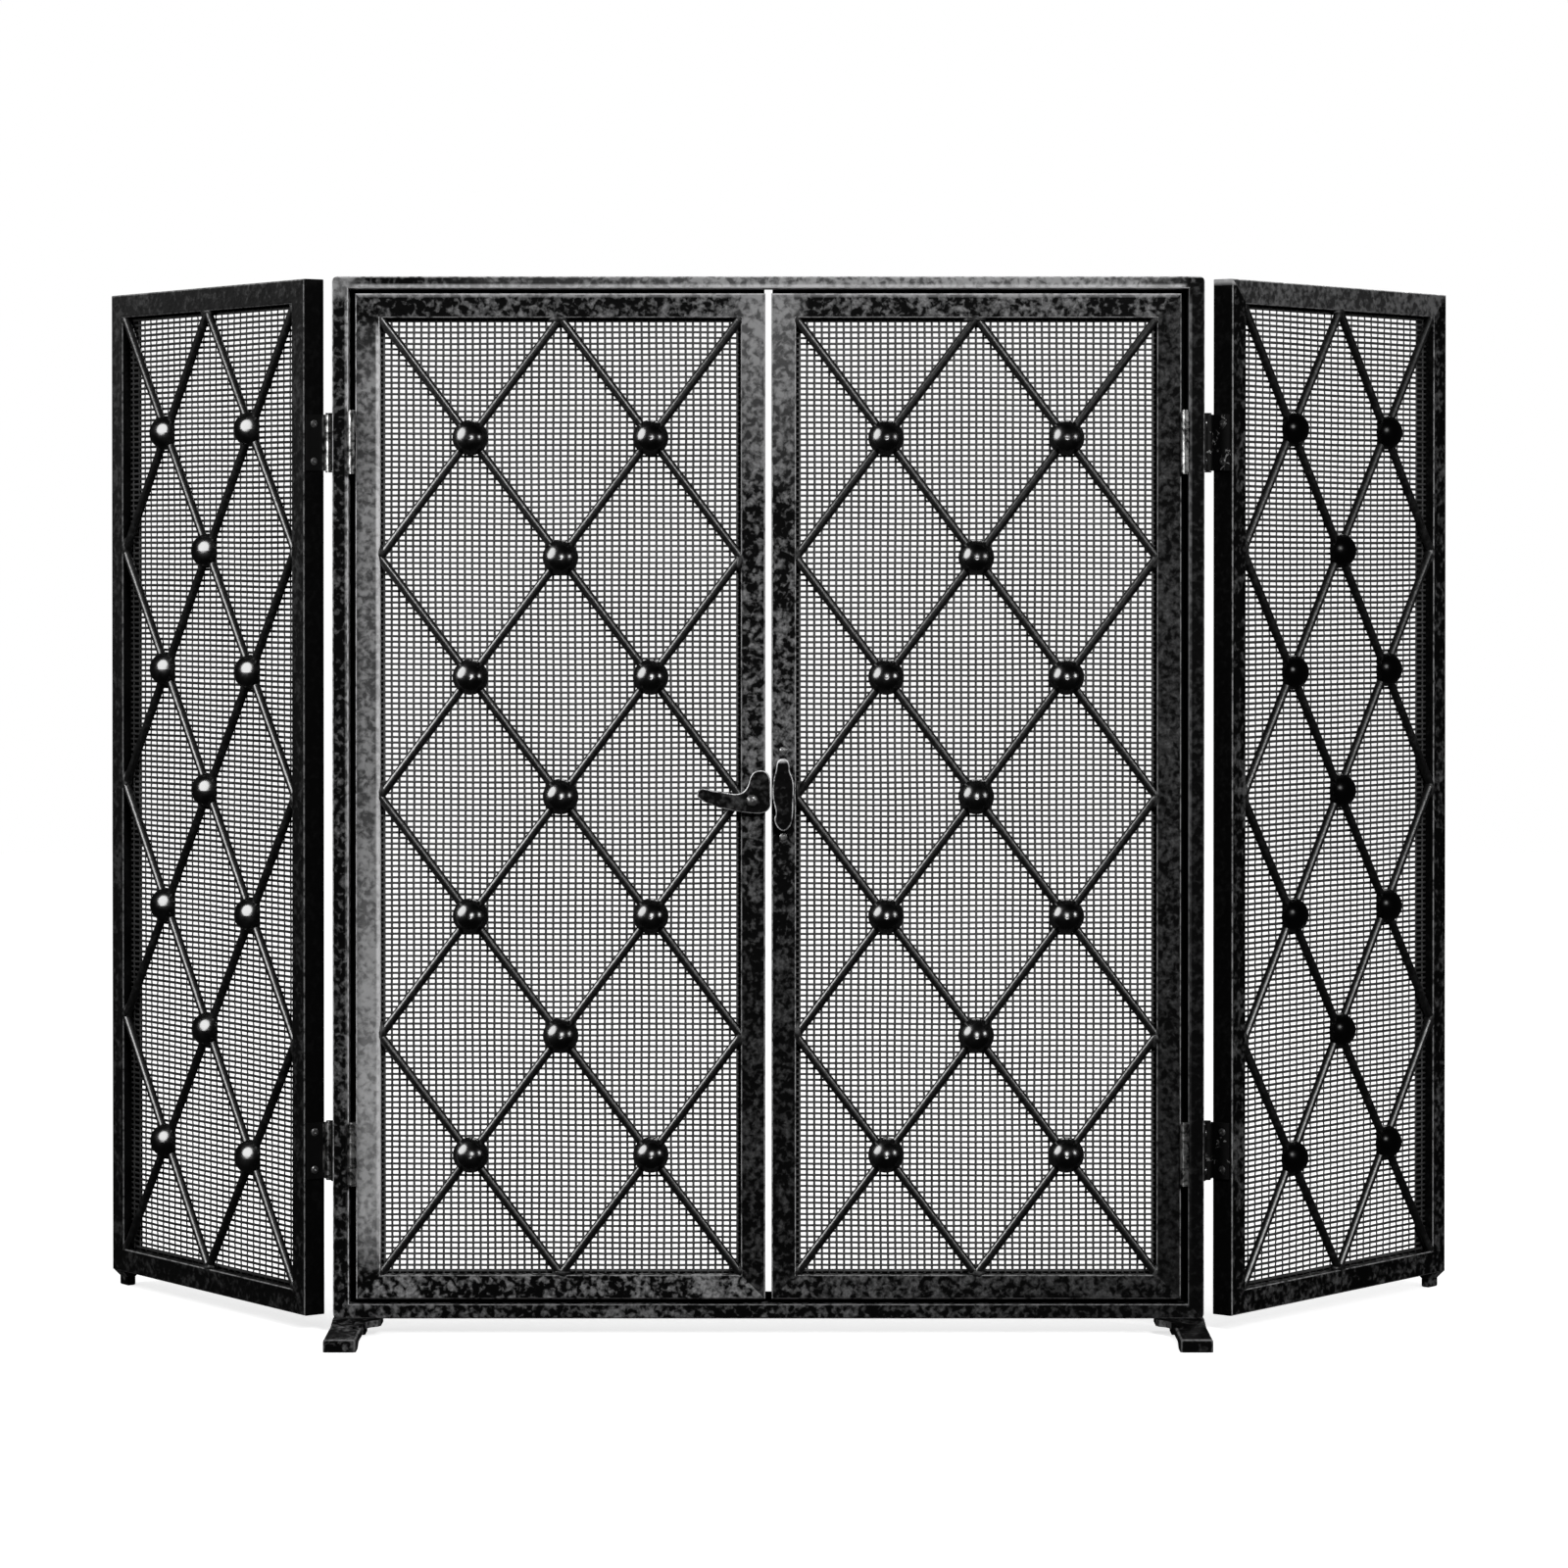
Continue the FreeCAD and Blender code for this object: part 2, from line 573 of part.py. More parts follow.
# ---------------------------------------------------------------- hinges
def hinge_leaf(name, side, plate_y0, plate_y1, offset, length, mid, radius,
               middle, z):
    """One leaf of a hinge whose axis is the local Z axis through the origin.
    side is the sign of X on which the plate lies, offset the distance from
    the axis to the plate's inner face. A leaf has either the middle knuckle
    or the two outer ones, and is cut back round the other leaf's knuckles."""
    lo = "%s - (%s) / 2" % (z, length)
    if side > 0:
        x0 = offset
    else:
        x0 = "-(%s) - dims.leaf_thick" % offset
    plate = box(name + "_plate", "dims.leaf_thick", "(%s) - (%s)" % (plate_y1, plate_y0),
                length, (x0, plate_y0, lo))
    gap = "dims.knuckle_gap"
    mlo = "%s - (%s) / 2" % (z, mid)
    end = "((%s) - (%s)) / 2" % (length, mid)
    clear = radius + " + 0.3"
    if middle:
        away = [cyl(name + "_away_low", clear, end + " + " + gap, ("0", "0", lo + " - " + gap)),
                cyl(name + "_away_high", clear, end + " + " + gap + " * 2",
                    ("0", "0", "%s + (%s) / 2 - %s" % (z, mid, gap)))]
        # the middle knuckle is shorter than its room by one gap at each end
        knuckles = [cyl(name + "_knuckle", radius, "%s - 2 * %s" % (mid, gap),
                        ("0", "0", mlo + " + " + gap))]
        # the plate's tongue is as long as the knuckle
    else:
        away = [cyl(name + "_away", clear, mid, ("0", "0", mlo))]
        knuckles = [cyl(name + "_knuckle_low", radius, end, ("0", "0", lo)),
                    cyl(name + "_knuckle_high", radius, end,
                        ("0", "0", "%s + (%s) / 2" % (z, mid)))]
    if middle:
        away[0].setExpression("Height", end + " + 2 * " + gap)
        away[1].setExpression("Height", end + " + 2 * " + gap)
    bare = cut(name + "_bare", plate, fuse(name + "_away_all", away))
    body = fuse(name + "_solid", [bare] + knuckles)
    bore = cyl(name + "_bore", "dims.pin_radius + dims.pin_fit", "(%s) + 4" % length,
               ("0", "0", lo + " - 2"))
    return cut(name, body, bore)


# door hinges: axis in the gap beside the door, just in front of both faces
door_axis_x = "(dims.frame_width / 2 - dims.frame_stile_face - dims.door_gap_side / 2)"
plate_off = "dims.door_gap_side / 2 - dims.leaf_thick"
dh = ("dims.dh_length", "dims.dh_mid", "dims.dh_radius")
frame_leaves = []
for tag, sgn in (("left", -1), ("right", 1)):
    for lvl in ("upper", "lower"):
        leaf = hinge_leaf("dh_%s_%s_frame" % (tag, lvl), sgn, "0", "dims.dh_front + 14",
                          plate_off, *dh, False, "dims.hinge_" + lvl)
        leaf.setExpression("Placement.Base.x", ("-" if sgn < 0 else "") + door_axis_x)
        leaf.setExpression("Placement.Base.y", "-dims.dh_front")
        frame_leaves.append(leaf)
node(compound("door_hinge_frame_leaves", frame_leaves), "door_hinge_frame_leaves", ORIGIN)
door_leaves = {}
for tag, sgn in (("left", 1), ("right", -1)):
    leaves = []
    for lvl in ("upper", "lower"):
        leaf = hinge_leaf("dh_%s_%s_door" % (tag, lvl), sgn, "0", "dims.dh_front + 14",
                          plate_off, *dh, True, "dims.hinge_" + lvl)
        leaf.setExpression("Placement.Base.x", ("-" if sgn > 0 else "") + door_axis_x)
        leaf.setExpression("Placement.Base.y", "-dims.dh_front")
        leaves.append(leaf)
    door_leaves[tag] = leaves

# wing hinges: axis behind the gap beside the frame
wh = ("dims.wh_length", "dims.wh_mid", "dims.wh_radius")
woff = "dims.wing_gap / 2 - dims.leaf_thick"
wing_axis_x = "(dims.frame_width / 2 + dims.wing_gap / 2)"
wing_frame_leaves = []
for tag, sgn in (("left", 1), ("right", -1)):
    for lvl in ("upper", "lower"):
        leaf = hinge_leaf("wh_%s_%s_frame" % (tag, lvl), sgn, "-dims.wh_leaf", "0",
                          woff, *wh, False, "dims.hinge_" + lvl)
        leaf.setExpression("Placement.Base.x", ("-" if sgn > 0 else "") + wing_axis_x)
        leaf.setExpression("Placement.Base.y", "dims.frame_depth + dims.wing_back")
        wing_frame_leaves.append(leaf)
node(compound("wing_hinge_frame_leaves", wing_frame_leaves), "wing_hinge_frame_leaves", ORIGIN)

# pins: one through each barrel, with a small domed head at each end
pins = []
for tag, sgn in (("left", -1), ("right", 1)):
    for kind, ax, ay, ln in (
            ("dh", door_axis_x, "-dims.dh_front", "dims.dh_length"),
            ("wh", wing_axis_x, "dims.frame_depth + dims.wing_back", "dims.wh_length")):
        for lvl in ("upper", "lower"):
            name = "pin_%s_%s_%s" % (kind, tag, lvl)
            zlo = "dims.hinge_%s - (%s) / 2" % (lvl, ln)
            shank = cyl(name + "_shank", "dims.pin_radius", "(%s) + 1" % ln,
                        ("0", "0", zlo + " - 0.5"))
            heads = []
            for which, zc in (("low", zlo + " - 1.2"), ("high", "dims.hinge_%s + (%s) / 2 + 0.2" % (lvl, ln))):
                heads.append(cyl(name + "_head_" + which, "dims.pin_radius + 0.9", "1",
                                 ("0", "0", zc)))
            pin = fuse(name, [shank] + heads)
            pin.setExpression("Placement.Base.x", ("-" if sgn < 0 else "") + ax)
            pin.setExpression("Placement.Base.y", ay)
            pins.append(pin)
node(compound("hinge_pins", pins), "hinge_pins", ORIGIN)


def screw(name, x, y, z, toward):
    """Pan-head screw with its axis along X. x is the surface under its head,
    toward the sign of the side on which the head stands."""
    body = new_body(name)
    sk = new_sketch(body, name + "_profile", "XZ_Plane")
    hr = "dims.screw_head"
    s = "" if toward > 0 else "-"
    # half section: shank, head and a slightly domed top, about the X axis
    polygon(sk, [
        ("%s(0 - 6)" % s, "0"), ("%s(0 - 6)" % s, "1.2"), ("%s(0 - 4.5)" % s, "1.6"),
        ("0", "1.6"), ("0", hr), ("%s(0 + 0.6)" % s, hr), ("%s(0 + 1.15)" % s, hr + " - 0.8"),
        ("%s(0 + 1.3)" % s, "0.9"), ("%s(0 + 0.7)" % s, "0")])
    rev = body.newObject("PartDesign::Revolution", name + "_turned")
    rev.Profile = sk
    rev.ReferenceAxis = (sk, ["H_Axis"])
    rev.Angle = 360.0
    sk.Visibility = False
    doc.recompute()
    body.Placement = P(V(x, y, z), R())
    return body


hz = {"upper": d("hinge_upper"), "lower": d("hinge_lower")}
leaf_face = axis_x - (d("wing_gap") / 2 - d("leaf_thick"))
screw_y = hinge_y - 11.5
frame_screws = []
for tag, sgn in (("left", -1), ("right", 1)):
    for lvl in ("upper", "lower"):
        for k, dz in enumerate((-14.0, 14.0)):
            frame_screws.append(screw("fs_%s_%s_%d" % (tag, lvl, k), sgn * leaf_face,
                                      screw_y, hz[lvl] + dz, sgn))
node(compound("wing_hinge_frame_screws", frame_screws), "wing_hinge_frame_screws", ORIGIN)

# ---------------------------------------------------------------- doors
door_w, door_z0 = evaluate(DW), evaluate(DZ0)
left_x = -(half - d("frame_stile_face") - d("door_gap_side"))
LEFT_DOOR = ORIGIN * P(V(left_x, 0, door_z0), R())
RIGHT_DOOR = ORIGIN * P(V(-left_x - door_w, 0, door_z0), R())
panel("left_door", "hinge_stile", "meeting_stile", DW, DH, LEFT_DOOR)
node(compound("left_door_hinge_leaves", door_leaves["left"]), "left_door_hinge_leaves", ORIGIN)
panel("right_door", "meeting_stile", "hinge_stile", DW, DH, RIGHT_DOOR)
node(compound("right_door_hinge_leaves", door_leaves["right"]), "right_door_hinge_leaves", ORIGIN)

# ---------------------------------------------------------------- wings
WW, WH = "dims.wing_width", "(dims.wing_top - dims.wing_bottom)"
front_v = -d("wing_back") - d("tube_depth")
out = d("wing_gap") / 2.0
wz = d("wing_bottom")
LEFT_PANEL = LEFT_WING * P(V(-out - d("wing_width"), front_v, wz), R())
RIGHT_PANEL = RIGHT_WING * P(V(out, front_v, wz), R())
panel("left_wing", "outer_stile", "inner_stile", WW, WH, LEFT_PANEL)
panel("right_wing", "inner_stile", "outer_stile", WW, WH, RIGHT_PANEL)

for tag, sgn, place in (("left", -1, LEFT_WING), ("right", 1, RIGHT_WING)):
    leaves = [hinge_leaf("wh_%s_%s_wing" % (tag, lvl), sgn, "-dims.wh_leaf", "0", woff,
                         *wh, True, "dims.hinge_" + lvl) for lvl in ("upper", "lower")]
    node(compound(tag + "_wing_hinge_leaves", leaves), tag + "_wing_hinge_leaves", place)
    face_x = d("wing_gap") / 2 - d("leaf_thick")
    screws = [screw("ws_%s_%s_%d" % (tag, lvl, k), sgn * face_x, -11.5, hz[lvl] + dz, -sgn)
              for lvl in ("upper", "lower") for k, dz in enumerate((-14.0, 14.0))]
    node(compound(tag + "_wing_hinge_screws", screws), tag + "_wing_hinge_screws", place)

    # peg: a square cap under the outer stile that tapers to a flat peg
    far = sgn * (out + d("wing_width") - d("tube_face") / 2)
    flare = doc.addObject("Part::Wedge", tag + "_peg_flare")
    for prop, expr in (
            ("Xmin", "-dims.peg_width / 2"), ("Xmax", "dims.peg_width / 2"),
            ("Zmin", "-dims.peg_depth / 2"), ("Zmax", "dims.peg_depth / 2"),
            ("X2min", "-dims.tube_face / 2 + 1"), ("X2max", "dims.tube_face / 2 - 1"),
            ("Z2min", "-dims.tube_depth / 2 + 1"), ("Z2max", "dims.tube_depth / 2 - 1"),
            ("Ymin", "dims.wing_bottom - dims.peg_flare"), ("Ymax", "dims.wing_bottom")):
        flare.setExpression(prop, expr)
    flare.Placement = P(V(0, 0, 0), R(V(1, 0, 0), 90))
    stem = box(tag + "_peg_stem", "dims.peg_width", "dims.peg_depth",
               "dims.wing_bottom - dims.peg_flare",
               ("-dims.peg_width / 2", "-dims.peg_depth / 2", "0"))
    doc.recompute()
    whole = fuse(tag + "_peg_whole", [flare, stem])
    doc.recompute()
    soft = doc.addObject("Part::Fillet", tag + "_peg_soft")
    soft.Base = whole
    low_edges = [i + 1 for i, e in enumerate(whole.Shape.Edges) if e.BoundBox.ZMax < 0.01]
    soft.Edges = [(i, 1.5, 1.5) for i in low_edges]
    node(soft, tag + "_wing_peg",
         place * P(V(far, -d("wing_back") - d("tube_depth") / 2, 0), R()))

# ---------------------------------------------------------------- latch
# Boss, lever and rivet share an axis along Y through the left door's meeting
# stile. Their own frames have that axis as local Y.
lx, lz = d("latch_x"), d("latch_z")
LATCH = ORIGIN * P(V(lx, 0, lz), R())

boss = new_body("latch_boss_body")
sk = new_sketch(boss, "boss_section", "XZ_Plane")
circle(sk, "0", "0", "dims.boss_radius")
circle(sk, "0", "0", "dims.pivot_radius")
boss_pad = pad(boss, sk, "dims.lever_gap - 0.2", "boss_pad")
rim_edges = edges_where(boss_pad.Shape, lambda e: e.BoundBox.YMax < -1.5 and e.BoundBox.XLength > 10)
fillet(boss, boss_pad, rim_edges, "0.6", "boss_edge")
node(boss, "latch_boss", LATCH)

# lever outline, from the tip of the leaf-shaped handle round under the pivot,
# up round the lobe and back along the top, in millimetres from the pivot
LEVER = [(-40.8, 5.2), (-40.6, 2.6), (-36.0, -0.8), (-28.0, -4.2), (-18.0, -7.0),
         (-8.0, -8.8), (2.0, -9.8), (9.0, -9.0), (12.6, -6.0), (13.8, -1.0),
         (13.7, 6.0), (13.6, 12.5), (12.6, 18.2), (9.6, 21.6), (5.0, 22.3),
         (1.0, 20.6), (-1.6, 16.6), (-3.2, 11.2), (-6.2, 6.8), (-11.0, 5.0),
         (-20.0, 6.0), (-31.0, 7.8), (-38.6, 8.4)]
lever = new_body("latch_lever_body")
sk = new_sketch(lever, "lever_outline", "XZ_Plane")
curve = Part.BSplineCurve()
curve.interpolate([V(x, z, 0) for x, z in LEVER], PeriodicFlag=True)
sk.addGeometry(curve, False)
circle(sk, "0", "0", "dims.pivot_radius + dims.pin_fit")
lever_pad = pad(lever, sk, "dims.lever_thick", "lever_pad")
rims = edges_where(lever_pad.Shape, lambda e: e.BoundBox.XLength > 30)
fillet(lever, lever_pad, rims, "1.2", "lever_edges")
node(lever, "latch_lever", LATCH * P(V(0, -d("lever_gap"), 0), R()))

# rivet: shank through lever, boss and the front wall of the stile, domed head
pivot = new_body("latch_pivot_body")
sk = new_sketch(pivot, "pivot_profile", "YZ_Plane")
under = "-(dims.lever_gap + dims.lever_thick + 0.2)"
polygon(sk, [("dims.tube_wall + 2", "0"), ("dims.tube_wall + 2", "dims.pivot_radius"),
             (under, "dims.pivot_radius"), (under, "dims.pivot_head"),
             (under + " - 0.8", "dims.pivot_head - 0.1"),
             (under + " - 1.9", "dims.pivot_head - 1.2"),
             (under + " - 2.6", "dims.pivot_head - 2.7"),
             (under + " - 2.8", "0")])
rev = pivot.newObject("PartDesign::Revolution", "pivot_turned")
rev.Profile = sk
rev.ReferenceAxis = (sk, ["H_Axis"])
rev.Angle = 360.0
doc.recompute()
node(pivot, "latch_pivot", LATCH)

# keeper: hood on the right door's meeting stile, open towards the lever, with
# a narrow rounded neck above and a rounded foot below
keeper = new_body("keeper_body")
sk = new_sketch(keeper, "keeper_outline", "XZ_Plane")
KEEPER = [(1.2, -12.0), (2.2, -18.4), (7.5, -22.6), (12.8, -18.4), (14.6, -12.0),
          (15.0, 0.0), (15.0, 14.0), (13.9, 18.0), (12.4, 22.0), (12.0, 26.5),
          (10.4, 29.8), (7.2, 31.0), (4.0, 29.8), (2.4, 26.5), (1.8, 22.0),
          (0.7, 18.0), (0.0, 14.0), (0.0, 0.0)]
curve = Part.BSplineCurve()
curve.interpolate([V(x, z, 0) for x, z in KEEPER], PeriodicFlag=True)
sk.addGeometry(curve, False)
body_pad = pad(keeper, sk, "dims.keeper_depth", "keeper_pad")
rims = edges_where(body_pad.Shape, lambda e: e.BoundBox.YMax < -d("keeper_depth") + 0.05
                   and e.BoundBox.ZLength > 30)
fillet(keeper, body_pad, rims, "1.4", "keeper_edges")
sk = new_sketch(keeper, "keeper_cavity", "YZ_Plane")
polygon(sk, [("-dims.keeper_wall", "-14"), ("-dims.keeper_wall", "22"),
             ("-dims.keeper_depth + dims.keeper_wall", "22"),
             ("-dims.keeper_depth + dims.keeper_wall", "-14")])
cav = pocket(keeper, sk, "26.4", "keeper_slot", both=True)
KEEPER_AT = ORIGIN * P(V(3.6, 0, lz), R())
node(keeper, "keeper", KEEPER_AT)

# keeper screws: above and below the hood, through the stile's front wall
kscrews = []
for k, dz in enumerate((36.6, -27.4)):
    body = new_body("keeper_screw_%d" % k)
    sk = new_sketch(body, "keeper_screw_%d_profile" % k, "YZ_Plane")
    polygon(sk, [("5", "0"), ("5", "1.1"), ("3.6", "1.5"), ("0", "1.5"), ("0", "2.9"),
                 ("-0.7", "2.9"), ("-1.3", "2.1"), ("-1.5", "0.9"), ("-1.5", "0")])
    rev = body.newObject("PartDesign::Revolution", "keeper_screw_%d_turned" % k)
    rev.Profile = sk
    rev.ReferenceAxis = (sk, ["H_Axis"])
    rev.Angle = 360.0
    doc.recompute()
    body.Placement = P(V(3.6 + 7.5, 0, lz + dz), R())
    kscrews.append(body)
node(compound("keeper_screws", kscrews), "keeper_screws", ORIGIN)

# ---------------------------------------------------------------- checks, output
doc.recompute()
bad = []
for o in doc.Objects:
    if "Invalid" in o.State or "Error" in o.State:
        bad.append(o.Name + " " + str(o.State))
for o in NODES:
    s = o.Shape
    if s.isNull() or not s.isValid() or not s.Solids:
        bad.append(o.Label + " has no valid solid")
if bad:
    raise RuntimeError("; ".join(bad))

os.makedirs("parts", exist_ok=True)
whole = FreeCAD.BoundBox()
total = 0.0
for o in NODES:
    o.Shape.exportStep(os.path.join("parts", o.Label + ".step"))
    whole.add(o.Shape.BoundBox)
    total += o.Shape.Volume
    b = o.Shape.BoundBox
    print("%-28s solids %2d  vol %9.1f  x %.2f %.2f  y %.2f %.2f  z %.2f %.2f" % (
        o.Label, len(o.Shape.Solids), o.Shape.Volume, b.XMin, b.XMax, b.YMin, b.YMax,
        b.ZMin, b.ZMax))
print("nodes", len(NODES))
print("box", whole, "centre", whole.Center)
print("steel mass kg", total * 7.85e-6)
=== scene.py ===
import json
import math

import bmesh
import bpy
import numpy as np
from mathutils import Matrix, Vector, noise

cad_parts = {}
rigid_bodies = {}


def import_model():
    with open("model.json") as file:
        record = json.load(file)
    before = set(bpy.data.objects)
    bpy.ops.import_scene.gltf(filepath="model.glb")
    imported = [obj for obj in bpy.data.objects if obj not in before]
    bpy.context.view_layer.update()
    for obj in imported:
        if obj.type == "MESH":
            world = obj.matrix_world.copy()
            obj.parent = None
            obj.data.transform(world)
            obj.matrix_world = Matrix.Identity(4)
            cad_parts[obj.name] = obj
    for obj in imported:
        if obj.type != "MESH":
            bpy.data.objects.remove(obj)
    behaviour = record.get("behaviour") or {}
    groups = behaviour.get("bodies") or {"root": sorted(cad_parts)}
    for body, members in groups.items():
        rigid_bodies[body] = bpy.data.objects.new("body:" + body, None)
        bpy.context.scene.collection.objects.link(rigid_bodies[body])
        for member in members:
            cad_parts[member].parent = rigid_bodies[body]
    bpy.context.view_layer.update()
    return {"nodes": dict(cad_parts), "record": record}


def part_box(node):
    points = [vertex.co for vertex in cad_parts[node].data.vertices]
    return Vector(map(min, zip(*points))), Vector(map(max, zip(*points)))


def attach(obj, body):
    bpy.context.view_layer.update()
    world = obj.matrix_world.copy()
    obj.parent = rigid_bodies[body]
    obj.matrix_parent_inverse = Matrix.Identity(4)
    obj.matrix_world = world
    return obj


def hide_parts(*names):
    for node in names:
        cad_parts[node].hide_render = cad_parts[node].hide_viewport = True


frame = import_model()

NODES = frame["nodes"]
scene = bpy.context.scene

PANELS = ("left_door", "right_door", "left_wing", "right_wing")

# ------------------------------------------------------------------ panels
# Each panel's opening comes from its mesh sheet: a corner, the direction along
# the panel, the direction to its front, and the sheet's width and height.


def sheet_frame(node):
    co = np.array([v.co for v in NODES[node].data.vertices], float)
    z0, z1 = co[:, 2].min(), co[:, 2].max()
    plan = co[:, :2]
    centre = (plan.max(0) + plan.min(0)) / 2
    centred = plan - plan.mean(0)
    values, vectors = np.linalg.eigh(centred.T @ centred)
    u = vectors[:, -1]
    if u[0] < 0:
        u = -u
    n = np.array([u[1], -u[0]])  # front: towards -Y
    if n[1] > 0:
        n = -n
    along = (plan - centre) @ u
    across = (plan - centre) @ n
    return {
        "u": Vector((u[0], u[1], 0.0)),
        "n": Vector((n[0], n[1], 0.0)),
        "mid": Vector((centre[0], centre[1], 0.0)),
        "w": float(along.max() - along.min()),
        "z0": float(z0),
        "z1": float(z1),
        "t": float(across.max() - across.min()),
        "angle": math.atan2(u[1], u[0]),
    }


SHEETS = {p: sheet_frame(p + "_mesh") for p in PANELS}


# ------------------------------------------------------------------ shader helpers


class Graph:
    """A few shorthands for building one material's nodes."""

    def __init__(self, name):
        self.mat = bpy.data.materials.new(name)
        self.mat.use_nodes = True
        self.tree = self.mat.node_tree
        self.tree.nodes.clear()
        self.out = self.tree.nodes.new("ShaderNodeOutputMaterial")
        self.bsdf = self.tree.nodes.new("ShaderNodeBsdfPrincipled")
        self.link(self.bsdf.outputs["BSDF"], self.out.inputs["Surface"])

    def link(self, a, b):
        self.tree.links.new(a, b)

    def put(self, socket, value):
        if isinstance(value, bpy.types.NodeSocket):
            self.link(value, socket)
        else:
            socket.default_value = value

    def node(self, kind, **inputs):
        n = self.tree.nodes.new(kind)
        for k, v in inputs.items():
            self.put(n.inputs[k], v)
        return n

    def coords(self, angle, stretch, shift):
        """Object coordinates turned so that X runs along the panel, then stretched."""
        tc = self.tree.nodes.new("ShaderNodeTexCoord")
        turn = self.node("ShaderNodeMapping", Vector=tc.outputs["Object"])
        turn.vector_type = "POINT"
        turn.inputs["Rotation"].default_value = (0.0, 0.0, -angle)
        move = self.node("ShaderNodeMapping", Vector=turn.outputs["Vector"])
        move.vector_type = "POINT"
        move.inputs["Location"].default_value = shift
        move.inputs["Scale"].default_value = stretch
        return move.outputs["Vector"]

    def noise(self, vector, scale, detail=4.0, rough=0.55, distort=0.0, lac=2.0):
        n = self.node("ShaderNodeTexNoise", Vector=vector, Scale=scale, Detail=detail,
                      Roughness=rough, Distortion=distort, Lacunarity=lac)
        return n.outputs["Fac"]

    def ramp(self, fac, stops, interpolation="LINEAR"):
        n = self.tree.nodes.new("ShaderNodeValToRGB")
        n.color_ramp.interpolation = interpolation
        el = n.color_ramp.elements
        while len(el) > len(stops):
            el.remove(el[-1])
        while len(el) < len(stops):
            el.new(1.0)
        for e, (pos, c) in zip(el, stops):
            e.position = pos
            e.color = (c, c, c, 1.0) if isinstance(c, (int, float)) else (*c, 1.0)
        self.link(fac, n.inputs["Fac"])
        return n.outputs["Color"]

    def math(self, op, a, b=0.0, c=0.0, clamp=False):
        n = self.tree.nodes.new("ShaderNodeMath")
        n.operation = op
        n.use_clamp = clamp
        for k, v in enumerate((a, b, c)):
            self.put(n.inputs[k], v)
        return n.outputs[0]

    def mix(self, fac, a, b):
        n = self.tree.nodes.new("ShaderNodeMix")
        n.data_type = "RGBA"
        self.put(n.inputs[0], fac)
        for socket, v in ((n.inputs[6], a), (n.inputs[7], b)):
            if isinstance(v, tuple) and len(v) == 3:
                v = (*v, 1.0)
            self.put(socket, v)
        return n.outputs[2]

    def value(self, fac, lo, hi, a=0.0, b=1.0):
        """fac from lo..hi mapped to a..b, held at the ends."""
        n = self.tree.nodes.new("ShaderNodeMapRange")
        n.clamp = True
        self.put(n.inputs["Value"], fac)
        n.inputs["From Min"].default_value = lo
        n.inputs["From Max"].default_value = hi
        n.inputs["To Min"].default_value = a
        n.inputs["To Max"].default_value = b
        return n.outputs["Result"]

    def bump(self, height, strength, distance, normal=None):
        n = self.node("ShaderNodeBump", Height=height, Strength=strength, Distance=distance)
        if normal is not None:
            self.link(normal, n.inputs["Normal"])
        return n.outputs["Normal"]

    def facing(self, angle):
        """How far the surface faces along the panel, through it and up, each 0 to 1."""
        tc = self.tree.nodes.new("ShaderNodeTexCoord")
        turn = self.node("ShaderNodeMapping", Vector=tc.outputs["Normal"])
        turn.vector_type = "NORMAL"
        turn.inputs["Rotation"].default_value = (0.0, 0.0, -angle)
        absolute = self.tree.nodes.new("ShaderNodeVectorMath")
        absolute.operation = "ABSOLUTE"
        self.link(turn.outputs["Vector"], absolute.inputs[0])
        parts = self.tree.nodes.new("ShaderNodeSeparateXYZ")
        self.link(absolute.outputs[0], parts.inputs[0])
        return parts.outputs

    def edges(self, angle, lo=0.80, hi=0.97):
        """1 on the rounded edges of a bar, 0 on its flats, from the surface's own direction."""
        x, y, z = self.facing(angle)
        return self.value(self.math("MAXIMUM", self.math("MAXIMUM", x, y), z), lo, hi, 1.0, 0.0)


SEED = [0.0]


def next_shift():
    SEED[0] += 1.0
    k = SEED[0]
    return (0.37 * k % 3.1, 0.61 * k % 2.7, 0.83 * k % 3.3)


